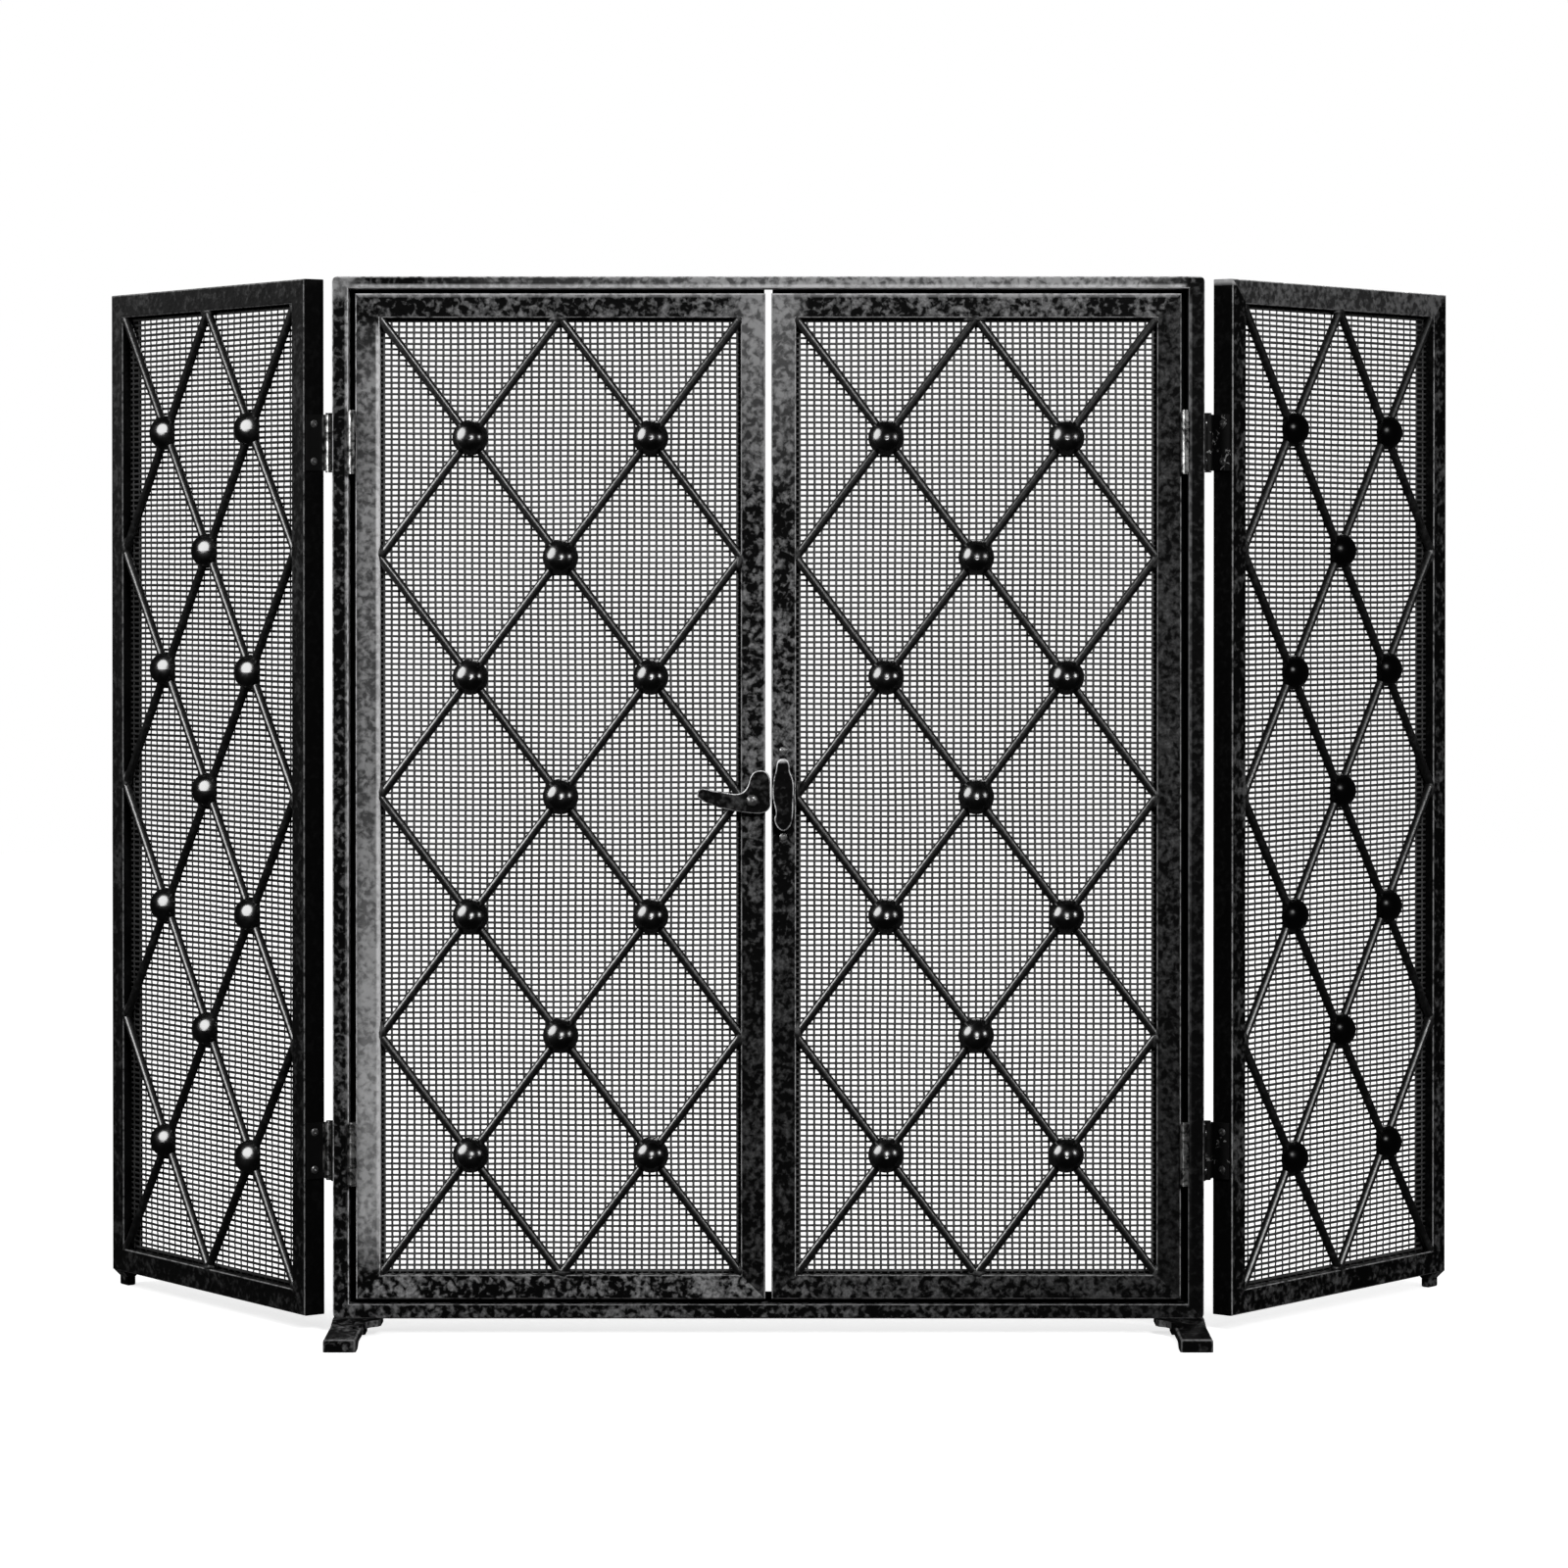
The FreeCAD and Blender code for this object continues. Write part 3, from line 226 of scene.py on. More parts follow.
def iron(name, angle=0.0, run=None, dark=0.002, grey=0.24, patches=(0.500, 0.640), rough=(0.42, 0.64),
         edge=0.60, edge_on=True, hammer=0.55, spec=0.07, fine=0.4, scale=1.0, pale=(),
         dim=(), shaded_sides=False, edge_range=(0.80, 0.97), shift=None):
    """Black wrought iron: deep black paint, grey in soft worm-like patches of rubbing, brighter
    on its edges, partly wear and partly a painted highlight where rounded edges catch the light,
    over a hammered and pitted surface. run is the axis that streaks follow. pale lists painted
    highlights and reflections, zones made lighter where light falls: ([(axis, from, to, fade in,
    fade out), ...], how much the patches break it up, grey). dim lists (axis, from, to, a, b): the
    grey goes from a to b times its strength between two places, darker towards one end.
    The faces that look along the panel can be given painted shade."""
    g = Graph(name)
    shift = shift or next_shift()
    stretch = {"x": (0.55, 1.0, 1.0), "z": (1.0, 1.0, 0.55), None: (1.0, 1.0, 1.0)}[run]
    streaky = g.coords(angle, stretch, shift)
    plain = g.coords(angle, (1.0, 1.0, 1.0), shift)
    worms = g.noise(streaky, 215.0 * scale, 3.0, 0.50, 0.35)
    broad = g.noise(streaky, 62.0 * scale, 3.0, 0.55)
    cloud = g.noise(plain, 15.0 * scale, 3.0, 0.55)
    grain = g.noise(plain, 560.0, 3.0, 0.6)
    pits = g.noise(plain, 1500.0, 2.0, 0.5)
    both = g.math("ADD", g.math("MULTIPLY", worms, 0.52), g.math("MULTIPLY", broad, 0.26))
    both = g.math("ADD", both, g.math("MULTIPLY", cloud, 0.22))
    wear_and_shade = g.value(both, patches[0], patches[1])
    speck = g.value(grain, 0.36, 0.66, 0.55, 1.15)
    wear_and_shade = g.math("MULTIPLY", wear_and_shade, speck, clamp=True)
    # painted shade: faces that look along the panel lose most of their grey
    if shaded_sides:
        x, y, z = g.facing(angle)
        wear_and_shade = g.math("MULTIPLY", wear_and_shade, g.value(x, 0.45, 0.75, 1.0, 0.08))
    if pale or dim:
        tc = g.tree.nodes.new("ShaderNodeTexCoord")
        parts = g.tree.nodes.new("ShaderNodeSeparateXYZ")
        g.link(tc.outputs["Object"], parts.inputs[0])
    # the grey fades between two places, darker towards one end
    for axis, start, end, first, last in dim:
        wear_and_shade = g.math("MULTIPLY", wear_and_shade,
                        g.value(parts.outputs["XYZ".index(axis)], start, end, first, last))
    colour = g.mix(wear_and_shade, (dark, dark, dark * 1.02), (grey, grey, grey * 1.01))
    # painted highlights and reflections: zones made lighter where light falls on the bar
    for spans, breaks, tone in pale:
        here = g.value(both, 0.44, 0.57, 1.0 - breaks, 1.0)
        for axis, low, high, fade_in, fade_out in spans:
            at = parts.outputs["XYZ".index(axis)]
            here = g.math("MULTIPLY", here, g.value(at, low, low + fade_in))
            here = g.math("MULTIPLY", here, g.value(at, high - fade_out, high, 1.0, 0.0))
        colour = g.mix(here, colour, (tone, tone, tone * 1.01))
    # bright broken edges: partly wear, partly a painted highlight where the rounded edges would catch the
    # light
    if edge_on:
        mask = g.edges(angle, *edge_range)
        broken = g.value(g.noise(streaky, 190.0, 4.0, 0.6), 0.36, 0.56, 0.12, 1.0)
        worn = g.math("MULTIPLY", mask, broken)
        colour = g.mix(worn, colour, (edge, edge, edge * 1.01))
    g.put(g.bsdf.inputs["Base Color"], colour)
    r = g.value(wear_and_shade, 0.0, 0.8, rough[1], rough[0])
    r = g.math("ADD", r, g.value(grain, 0.3, 0.7, -0.05, 0.07))
    g.put(g.bsdf.inputs["Roughness"], r)
    g.bsdf.inputs["Specular IOR Level"].default_value = spec
    n = g.bump(broad, hammer, 0.0014)
    n = g.bump(worms, hammer * 0.8, 0.0005, n)
    n = g.bump(grain, fine, 0.00018, n)
    n = g.bump(pits, fine * 0.7, 0.00006, n)
    g.put(g.bsdf.inputs["Normal"], n)
    return g.mat


def gloss(name, dark=0.0003, rough=0.17, spec=0.85):
    """Gloss black pressed domes, with a little orange peel and dust in the paint."""
    g = Graph(name)
    at = g.coords(0.0, (1.0, 1.0, 1.0), next_shift())
    cloud = g.noise(at, 120.0, 4.0, 0.6)
    grain = g.noise(at, 700.0, 3.0, 0.6)
    colour = g.mix(g.value(cloud, 0.45, 0.72), (dark, dark, dark), (dark * 3, dark * 3, dark * 3.1))
    g.put(g.bsdf.inputs["Base Color"], colour)
    g.put(g.bsdf.inputs["Roughness"], g.value(cloud, 0.35, 0.7, rough, rough + 0.10))
    g.bsdf.inputs["Specular IOR Level"].default_value = spec
    n = g.bump(g.noise(at, 110.0, 1.0, 0.5), 0.04, 0.0009)
    n = g.bump(grain, 0.03, 0.00008, n)
    g.put(g.bsdf.inputs["Normal"], n)
    return g.mat


def steel(name, dark=0.10, light=0.42, rough=(0.22, 0.42)):
    """Darkened steel with bright worn places, for screw and rivet heads."""
    g = Graph(name)
    at = g.coords(0.0, (1.0, 1.0, 1.0), next_shift())
    cloud = g.noise(at, 420.0, 4.0, 0.6)
    grain = g.noise(at, 1600.0, 3.0, 0.6)
    g.put(g.bsdf.inputs["Base Color"],
          g.mix(g.value(cloud, 0.38, 0.62), (dark, dark, dark), (light, light, light)))
    g.bsdf.inputs["Metallic"].default_value = 0.85
    g.put(g.bsdf.inputs["Roughness"], g.value(cloud, 0.35, 0.65, rough[1], rough[0]))
    g.put(g.bsdf.inputs["Normal"], g.bump(grain, 0.25, 0.00008))
    return g.mat


def hinge(name, axes, reach=0.0052, dark=0.002, bright=0.55):
    """Black hinge: dark metal with bright spots round its pins, partly wear and partly a
    painted highlight on the knuckles, black on its leaves. axes are the (x, y) of the pins."""
    g = Graph(name)
    at = g.coords(0.0, (1.0, 1.0, 1.0), next_shift())
    patch = g.noise(at, 150.0, 4.0, 0.6, 0.6)
    grain = g.noise(at, 900.0, 3.0, 0.6)
    tc = g.tree.nodes.new("ShaderNodeTexCoord")
    parts = g.tree.nodes.new("ShaderNodeSeparateXYZ")
    g.link(tc.outputs["Object"], parts.inputs[0])
    near = None
    for x, y in axes:
        dx = g.math("SUBTRACT", parts.outputs[0], x)
        dy = g.math("SUBTRACT", parts.outputs[1], y)
        r2 = g.math("ADD", g.math("MULTIPLY", dx, dx), g.math("MULTIPLY", dy, dy))
        one = g.value(g.math("SQRT", r2), reach * 0.85, reach, 1.0, 0.0)
        near = one if near is None else g.math("MAXIMUM", near, one)
    worn = g.value(patch, 0.40, 0.62)
    wear_and_glint = g.mix(worn, (0.03, 0.03, 0.03), (bright, bright, bright * 0.99))
    if near is None:  # a hinge with no pins listed keeps its black paint without the bright pin metal, as painted shade; bright only in a few spots
        near = g.value(patch, 0.60, 0.66)
    g.put(g.bsdf.inputs["Base Color"], g.mix(near, (dark, dark, dark), wear_and_glint))
    g.put(g.bsdf.inputs["Metallic"], g.math("MULTIPLY", near, 0.9))
    g.put(g.bsdf.inputs["Roughness"], g.value(near, 0.0, 1.0, 0.50, 0.30))
    g.bsdf.inputs["Specular IOR Level"].default_value = 0.2
    n = g.bump(patch, 0.4, 0.0004)
    g.put(g.bsdf.inputs["Normal"], g.bump(grain, 0.3, 0.0001, n))
    return g.mat


def wire(name, angle, low=0.085, high=0.150):
    """Dark wire, a little lighter in broad cloudy patches of wear and dust."""
    g = Graph(name)
    at = g.coords(angle, (1.0, 1.0, 1.0), next_shift())
    cloud = g.noise(at, 16.0, 4.0, 0.6)
    grain = g.noise(at, 900.0, 2.0, 0.6)
    g.put(g.bsdf.inputs["Base Color"],
          g.mix(g.value(cloud, 0.40, 0.68), (low, low, low), (high, high, high * 1.01)))
    g.put(g.bsdf.inputs["Roughness"], g.value(grain, 0.3, 0.7, 0.42, 0.60))
    g.bsdf.inputs["Specular IOR Level"].default_value = 0.3
    g.put(g.bsdf.inputs["Normal"], g.bump(grain, 0.2, 0.00006))
    return g.mat


# ------------------------------------------------------------------ mesh builders


def make_object(name, verts, faces, smooth=True):
    me = bpy.data.meshes.new(name)
    me.from_pydata([tuple(v) for v in verts], [], [tuple(f) for f in faces])
    me.validate(clean_customdata=False)
    me.update()
    if smooth:
        me.polygons.foreach_set("use_smooth", [True] * len(me.polygons))
    ob = bpy.data.objects.new(name, me)
    scene.collection.objects.link(ob)
    return ob


WIRE = 0.00172  # wire width, as seen from the front
WING_UPRIGHT, WING_LEVEL = 0.0021, 0.0020  # the same for the wings' wires
WIRE_DEEP = 0.0008  # wire thickness, flattened by rolling
LIFT = 0.00026  # how far a wire rises over the wires it crosses


def woven(panel, pitch_u, pitch_z):
    """A panel's woven wire mesh as two pieces, the upright wires and the level ones. Each
    wire passes in front of and behind its neighbours in turn, and the weave wanders a
    little, as mesh does that is cut and pressed in by hand."""
    s = SHEETS[panel]
    w, h = s["w"], s["z1"] - s["z0"]
    nu, nz = int(round(w / pitch_u)), int(round(h / pitch_z))
    pu, pz = w / nu, h / nz
    k = PANELS.index(panel)
    us = (np.arange(nu) + 0.5) * pu
    zs = (np.arange(nz) + 0.5) * pz
    U, Z = np.meshgrid(us, zs, indexing="ij")

    def wander(a, b):
        return (0.00022 * np.sin(2 * np.pi * b / 0.31 + 1.7 * k + 5.0 * a)
                + 0.00012 * np.sin(2 * np.pi * b / 0.117 + 0.6 * k + 21.0 * a)
                + 0.00009 * np.sin(2 * np.pi * (a + 0.6 * b) / 0.073 + 2.2 * k))

    fade_u = np.clip(np.minimum(U, w - U) / 0.02, 0.0, 1.0)
    fade_z = np.clip(np.minimum(Z, h - Z) / 0.02, 0.0, 1.0)
    CU = U + wander(U, Z) * fade_u
    CZ = Z + wander(Z, U) * fade_z
    sign = 1.0 - 2.0 * ((np.arange(nu)[:, None] + np.arange(nz)[None, :]) % 2)
    r_deep = WIRE_DEEP / 2
    phi = 2 * np.pi * np.arange(6) / 6
    origin = np.array(s["mid"]) - np.array(s["u"]) * w / 2 + np.array((0.0, 0.0, s["z0"]))
    u, n, z = np.array(s["u"]), np.array(s["n"]), np.array((0.0, 0.0, 1.0))

    def strands(pu_, pz_, pn_, section_a, r):
        """pu_, pz_, pn_: (wires, points) of places along the panel, up and to the front."""
        wires, points = pu_.shape
        line = (origin[None, None] + pu_[..., None] * u + pz_[..., None] * z + pn_[..., None] * n)
        ring = (np.cos(phi)[:, None] * section_a[None] * r
                + np.sin(phi)[:, None] * n[None] * r_deep)
        verts = (line[:, :, None, :] + ring[None, None]).reshape(-1, 3)
        base = np.arange(wires)[:, None, None] * points * 6
        step = np.arange(points - 1)[None, :, None] * 6
        j = np.arange(6)[None, None, :]
        a = base + step + j
        b = base + step + (j + 1) % 6
        quads = np.stack([a, b, b + 6, a + 6], axis=-1).reshape(-1, 4)
        # each quad's strip place, for the wire's own map
        strip = np.broadcast_to(np.arange(wires)[:, None, None] * 6 + j, a.shape).reshape(-1)
        along0 = np.broadcast_to(step / 6.0 / (points - 1), a.shape).reshape(-1)
        along1 = along0 + 1.0 / (points - 1)
        caps = []
        for i in range(wires):
            first = i * points * 6
            last = first + (points - 1) * 6
            caps.append([first + q for q in range(5, -1, -1)])
            caps.append([last + q for q in range(6)])
        return verts, quads, caps, strip, along0, along1, wires

    def wire_object(name, data, flip):
        verts, quads, caps, strip, a0, a1, wires = data
        if flip:
            quads = quads[:, ::-1]
            caps = [c[::-1] for c in caps]
        me = bpy.data.meshes.new(name)
        nq, nc = len(quads), len(caps)
        me.vertices.add(len(verts))
        me.vertices.foreach_set("co", verts.astype(np.float32).ravel())
        loops = np.concatenate([quads.ravel(), np.array(caps).ravel()]).astype(np.int32)
        me.loops.add(len(loops))
        me.loops.foreach_set("vertex_index", loops)
        me.polygons.add(nq + nc)
        start = np.concatenate([np.arange(nq) * 4, nq * 4 + np.arange(nc) * 6]).astype(np.int32)
        me.polygons.foreach_set("loop_start", start)
        me.update(calc_edges=True)
        me.validate(clean_customdata=False)
        row = np.repeat(strip // 6, 4).reshape(-1, 4).astype(float)
        low, high = (row + 0.12) / wires, (row + 0.88) / wires
        across = np.stack([low[:, 0], high[:, 1], high[:, 2], low[:, 3]], axis=1)
        along = np.stack([a0, a0, a1, a1], axis=1)
        if flip:
            across, along = across[:, ::-1], along[:, ::-1]
        quad_uv = np.stack([along, across], axis=-1).reshape(-1, 2)
        turn = np.linspace(0, 2 * np.pi, 7)[:6]
        cap_uv = []
        for c in range(nc):
            mid = (c // 2 + 0.5) / wires
            end = 0.002 if c % 2 == 0 else 0.998
            cap_uv.append(np.stack([end + 0.0015 * np.cos(turn), mid + 0.3 / wires * np.sin(turn)], axis=-1))
        uv = me.uv_layers.new(name="OFBake")
        uv.data.foreach_set("uv", np.concatenate([quad_uv] + cap_uv).astype(np.float32).ravel())
        smooth = np.ones(nq + nc, bool)
        smooth[nq:] = False
        me.polygons.foreach_set("use_smooth", smooth)
        me.update()
        ob = bpy.data.objects.new(name, me)
        scene.collection.objects.link(ob)
        return ob

    # upright wires: through the crossings, and on to the frame at both ends
    up_u = np.concatenate([CU[:, :1], CU, CU[:, -1:]], axis=1)
    up_z = np.concatenate([np.zeros((nu, 1)), CZ, np.full((nu, 1), h)], axis=1)
    up_n = np.concatenate([np.zeros((nu, 1)), sign * LIFT, np.zeros((nu, 1))], axis=1)
    wide_u, wide_z = (WIRE, WIRE) if "door" in panel else (WING_UPRIGHT, WING_LEVEL)
    upright = wire_object(panel + "_mesh_upright_wires", strands(up_u, up_z, up_n, u, wide_u / 2),
                          False)
    lv_u = np.concatenate([np.zeros((1, nz)), CU, np.full((1, nz), w)], axis=0).T
    lv_z = np.concatenate([CZ[:1], CZ, CZ[-1:]], axis=0).T
    lv_n = np.concatenate([np.zeros((1, nz)), -sign * LIFT, np.zeros((1, nz))], axis=0).T
    level = wire_object(panel + "_mesh_level_wires", strands(lv_u, lv_z, lv_n, z, wide_z / 2),
                        False)
    # outward faces: the sections turn one way for upright wires and the other for level ones
    for ob in (upright, level):
        bm = bmesh.new()
        bm.from_mesh(ob.data)
        bm.faces.ensure_lookup_table()
        f = bm.faces[0]
        ring = [v.co for v in bm.verts][:6]
        axis_point = sum((Vector(c) for c in ring), Vector()) / 6
        outward = f.normal.dot(f.calc_center_median() - axis_point)
        if outward < 0:
            bmesh.ops.reverse_faces(bm, faces=bm.faces)
            bm.to_mesh(ob.data)
        bm.free()
    return upright, level


def islands(ob):
    """The vertices of each separate solid in a node, as arrays."""
    me = ob.data
    co = np.array([v.co for v in me.vertices], float)
    keys = {}
    same = np.empty(len(co), int)
    for i, c in enumerate(np.round(co, 6)):
        same[i] = keys.setdefault(tuple(c), i)
    parent = list(range(len(co)))

    def find(a):
        while parent[a] != a:
            parent[a] = parent[parent[a]]
            a = parent[a]
        return a

    for p in me.polygons:
        vs = [find(same[v]) for v in p.vertices]
        for v in vs[1:]:
            parent[find(v)] = find(vs[0])
    groups = {}
    for i in range(len(co)):
        groups.setdefault(find(same[i]), []).append(i)
    return [co[g] for g in groups.values()]


def rod_ends(panel):
    """The ends of the panel's rods that meet its tubes, as (place along, height)."""
    s = SHEETS[panel]
    w, h = s["w"], s["z1"] - s["z0"]
    ends = []
    for node in (panel + "_rods_falling", panel + "_rods_rising"):
        for co in islands(NODES[node]):
            flat = np.stack([(co - np.array(s["mid"])) @ np.array(s["u"]) + s["w"] / 2,
                             co[:, 2] - s["z0"]], axis=1)
            c = flat.mean(0)
            values, vectors = np.linalg.eigh(np.cov((flat - c).T))
            d = vectors[:, -1]
            t = (flat - c) @ d
            for side in (t.min(), t.max()):
                a, b = flat[np.abs(t - side) < 0.0045].mean(0)
                if min(a, w - a, b, h - b) < 0.012:
                    ends.append((float(a), float(b)))
    return ends


def lump(centre, u, n, size, seed, level=3):
    """One weld bead: a squashed, rippled lump, longest along the edge it lies on."""
    bm = bmesh.new()
    bmesh.ops.create_icosphere(bm, subdivisions=level, radius=1.0)
    z = Vector((0, 0, 1))
    verts = []
    for v in bm.verts:
        c = v.co
        k = 1.0 + 0.20 * noise.noise(c * 1.6 + Vector((seed, 0, 0)))
        k += 0.09 * noise.noise(c * 4.1 + Vector((0, seed, 0)))
        k += 0.05 * math.sin(9.0 * c.x + seed)
        verts.append(centre + (u * (c.x * size[0]) + z * (c.z * size[2]) + n * (c.y * size[1])) * k)
    bm.verts.index_update()
    faces = [[v.index for v in f.verts] for f in bm.faces]
    bm.free()
    return verts, faces


def weld_beads(panel):
    """Beads where the rods meet the tubes, one piece per panel."""
    s = SHEETS[panel]
    w, h = s["w"], s["z1"] - s["z0"]
    spots = []
    for a, b in rod_ends(panel):
        for q in spots:
            if math.hypot(q[0] - a, q[1] - b) < 0.013:
                q[2].append((a, b))
                break
        else:
            spots.append([a, b, [(a, b)]])
    verts, faces = [], []
    front = s["t"] / 2 + 0.0075  # from the sheet's middle to the panel's front
    for i, (_, _, members) in enumerate(sorted(spots, key=lambda q: (round(q[1], 3), q[0]))):
        a = sum(m[0] for m in members) / len(members)
        b = sum(m[1] for m in members) / len(members)
        gaps = {"l": a, "r": w - a, "b": b, "t": h - b}
        side = min(gaps, key=gaps.get)
        two = len(members) > 1
        seed = 3.7 * i + 11.3 * PANELS.index(panel)
        long_, short = (0.0072, 0.0036) if two else (0.0050, 0.0034)
        long_ *= 1.0 + 0.14 * math.sin(seed)
        deep = 0.0040 if two else 0.0036
        back = 0.0034  # depth of the rods' middles behind the front
        if side in "lr":
            size = (short, deep, long_)
            a = 0.0008 if side == "l" else w - 0.0008
        else:
            size = (long_, deep, short)
            b = 0.0008 if side == "b" else h - 0.0008
        centre = s["mid"] + s["u"] * (a - w / 2) + Vector((0, 0, s["z0"] + b)) + s["n"] * (front - back)
        v, f = lump(centre, s["u"], s["n"], size, seed)
        f = [[k + len(verts) for k in face] for face in f]
        verts += v
        faces += f
    return make_object(panel + "_weld_beads", verts, faces)


# ------------------------------------------------------------------ build the pieces

for panel in PANELS:
    s = SHEETS[panel]
    pitch_u = 0.00543 if "door" in panel else 0.0093
    upright, level = woven(panel, pitch_u, 0.00419)
    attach(upright, panel)
    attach(level, panel)
    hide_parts(panel + "_mesh")
    mesh_mat = (wire(panel + "_wire_black", s["angle"]) if "door" in panel
                else wire(panel + "_wire_black", s["angle"], 0.050, 0.090))
    upright.data.materials.append(mesh_mat)
    level.data.materials.append(mesh_mat)
    beads = weld_beads(panel)
    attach(beads, panel)
    beads.data.materials.append(iron(panel + "_weld_iron", s["angle"], None, dark=0.003, grey=0.08,
                                     edge_on=False, hammer=0.3, rough=(0.30, 0.5), spec=0.35))

# ------------------------------------------------------------------ materials of the CAD nodes


def dress(node, mat):
    me = NODES[node].data
    me.materials.clear()
    me.materials.append(mat)
    for p in me.polygons:
        p.material_index = 0


def pin_axes(bodies):
    """Where the pins of these joints stand at rest, as (x, y)."""
    return [tuple(j["pos_m"][:2]) for j in frame["record"]["behaviour"]["joints"]
            if j["axis"][2] != 0 and (j["child"] in bodies or "all" in bodies)]


for name in NODES:
    panel = next((p for p in PANELS if name.startswith(p)), None)
    angle = SHEETS[panel]["angle"] if panel else 0.0
    low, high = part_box(name)
    frame_shift = (0.31, 1.27, 0.93) if not panel else (0.77 * (1 + PANELS.index(panel)), 0.4, 1.9)
    if name.endswith("_mesh"):
        mat = iron("sheet_" + name, angle)
    elif name.endswith("_domes"):
        mat = gloss("dome_" + name)
    elif "rods" in name:
        mat = iron("rod_" + name, angle, None, dark=0.0008, grey=0.02, patches=(0.50, 0.64),
                   edge_on=False, hammer=0.30, rough=(0.25, 0.34), spec=0.9)
    elif "screws" in name or name == "latch_pivot":
        mat = steel("steel_" + name)
    elif "hinge_leaves" in name or "hinge_frame_leaves" in name or name == "hinge_pins":
        # painted shade: the right wing's hinges, its frame leaf and its pin get no bright metal round the
        # pins
        worn = [panel] if panel else ["left_door", "right_door", "left_wing"]
        mat = hinge("hinge_" + name, [] if panel == "right_wing" else pin_axes(worn))
    # painted highlights: bright broken outlines on the latch's edges, and a bright rim along the keeper's
    # top
    elif name in ("latch_lever", "latch_boss", "keeper"):
        mat = iron("latch_" + name, 0.0, None, dark=0.0008, grey=0.04, patches=(0.52, 0.66),
                   edge=0.75, edge_range=(0.72, 0.99), hammer=0.60, rough=(0.40, 0.55), spec=0.05,
                   pale=[([("Z", high.z - 0.0035, high.z + 0.1, 0.002, 0.01)], 0.7, 0.6)]
                   if name == "keeper" else ())
    # painted shade: the right foot gets less grey than the left, away from the light
    elif name in ("front_feet", "left_wing_peg", "right_wing_peg"):
        mat = iron("foot_" + name, angle, None, grey=0.20, edge=0.24,
                   dim=[("X", -0.1, 0.2, 1.0, 0.35)] if name == "front_feet" else ())
    elif name.endswith("_retainer") or name == "door_stop_strips":
        mat = iron("strip_" + name, angle, None, grey=0.010, edge=0.03, hammer=0.2)
    # painted reflection: the stile is made light grey, lighter still towards its foot, with a bright painted
    # highlight line along its inner edge and bright edges
    elif name == "left_door_hinge_stile":
        mat = iron("bar_" + name, angle, None, edge=0.9, shift=frame_shift,
                   pale=[([("Z", low.z + 0.02, high.z - 0.018, 0.06, 0.05),
                           ("X", low.x - 0.004, high.x + 0.02, 0.010, 0.001)], 0.75, 0.36),
                         ([("Z", low.z + 0.02, low.z + 0.36, 0.05, 0.22),
                           ("X", low.x - 0.004, high.x + 0.02, 0.010, 0.001)], 0.60, 0.62),
                         ([("Z", low.z + 0.02, high.z - 0.022, 0.06, 0.01),
                           ("X", high.x - 0.0034, high.x + 0.02, 0.0014, 0.001)], 0.45, 0.95)])
    # painted highlight: the top 15 cm made lighter. Lower down the grey fades, darker towards the bottom.
    elif name in ("left_door_meeting_stile", "right_door_meeting_stile"):
        mat = iron("bar_" + name, angle, None, edge=0.6, grey=0.30, patches=(0.475, 0.605),
                   shift=frame_shift, dim=[("Z", 0.26, 0.44, 0.30, 1.0)],
                   pale=[([("Z", high.z - 0.15, high.z + 0.1, 0.12, 0.01)], 0.70, 0.38)])
    # painted highlights: a light line along the top edge and a lighter patch at the end by the meeting
    # stiles, with bright edges
    elif name in ("left_door_top_rail", "right_door_top_rail"):
        end = ([("X", high.x - 0.028, high.x + 0.1, 0.018, 0.01)] if panel == "left_door"
               else [("X", low.x - 0.1, low.x + 0.028, 0.01, 0.018)])
        mat = iron("bar_" + name, angle, None, edge=0.75, shift=frame_shift, grey=0.30,
                   patches=(0.475, 0.610),
                   pale=[([("Z", high.z - 0.0034, high.z + 0.1, 0.0016, 0.01)], 0.6, 0.42),
                         (end, 0.70, 0.38)])
    # painted highlights and reflections: most of the rail made lighter, a lighter left corner and a bright
    # line along its lower inner edge, with bright edges
    elif name == "frame_top_rail":
        mat = iron("bar_" + name, angle, None, edge=0.9, shift=frame_shift,
                   pale=[([("X", low.x + 0.06, high.x - 0.01, 0.24, 0.04)], 0.76, 0.44),
                         ([("X", low.x - 0.1, low.x + 0.020, 0.01, 0.010)], 0.6, 0.40),
                         ([("Z", low.z - 0.1, low.z + 0.0038, 0.01, 0.0018),
                           ("X", low.x + 0.012, high.x - 0.012, 0.004, 0.004)], 0.45, 0.75)])
    # painted highlights: lighter at the top and a light line along its inner edge, with bright edges
    elif name == "frame_left_stile":
        mat = iron("bar_" + name, angle, None, edge=0.9, shift=frame_shift,
                   pale=[([("Z", high.z - 0.018, high.z + 0.1, 0.008, 0.01)], 0.6, 0.40),
                         ([("X", high.x - 0.0030, high.x + 0.1, 0.0014, 0.01),
                           ("Z", low.z + 0.02, high.z - 0.012, 0.60, 0.004)], 0.80, 0.62)])
    # painted shade: little grey and dull edges, unlike the left stile. The grey also fades towards the
    # bottom. A faint painted highlight line runs along its inner edge.
    elif name == "frame_right_stile":
        mat = iron("bar_" + name, angle, None, edge=0.25, shift=frame_shift, grey=0.05,
                   dim=[("Z", 0.05, 0.40, 0.35, 1.0)],
                   pale=[([("X", low.x - 0.1, low.x + 0.0030, 0.01, 0.0014),
                           ("Z", low.z + 0.02, high.z - 0.012, 0.60, 0.004)], 0.70, 0.20)])
    # painted shade: far less grey and duller edges than the left door's hinge stile. The grey also fades
    # towards the bottom.
    elif name == "right_door_hinge_stile":
        mat = iron("bar_" + name, angle, None, edge=0.4, shift=frame_shift, grey=0.12,
                   patches=(0.44, 0.66), dim=[("Z", 0.05, 0.30, 0.35, 1.0)])
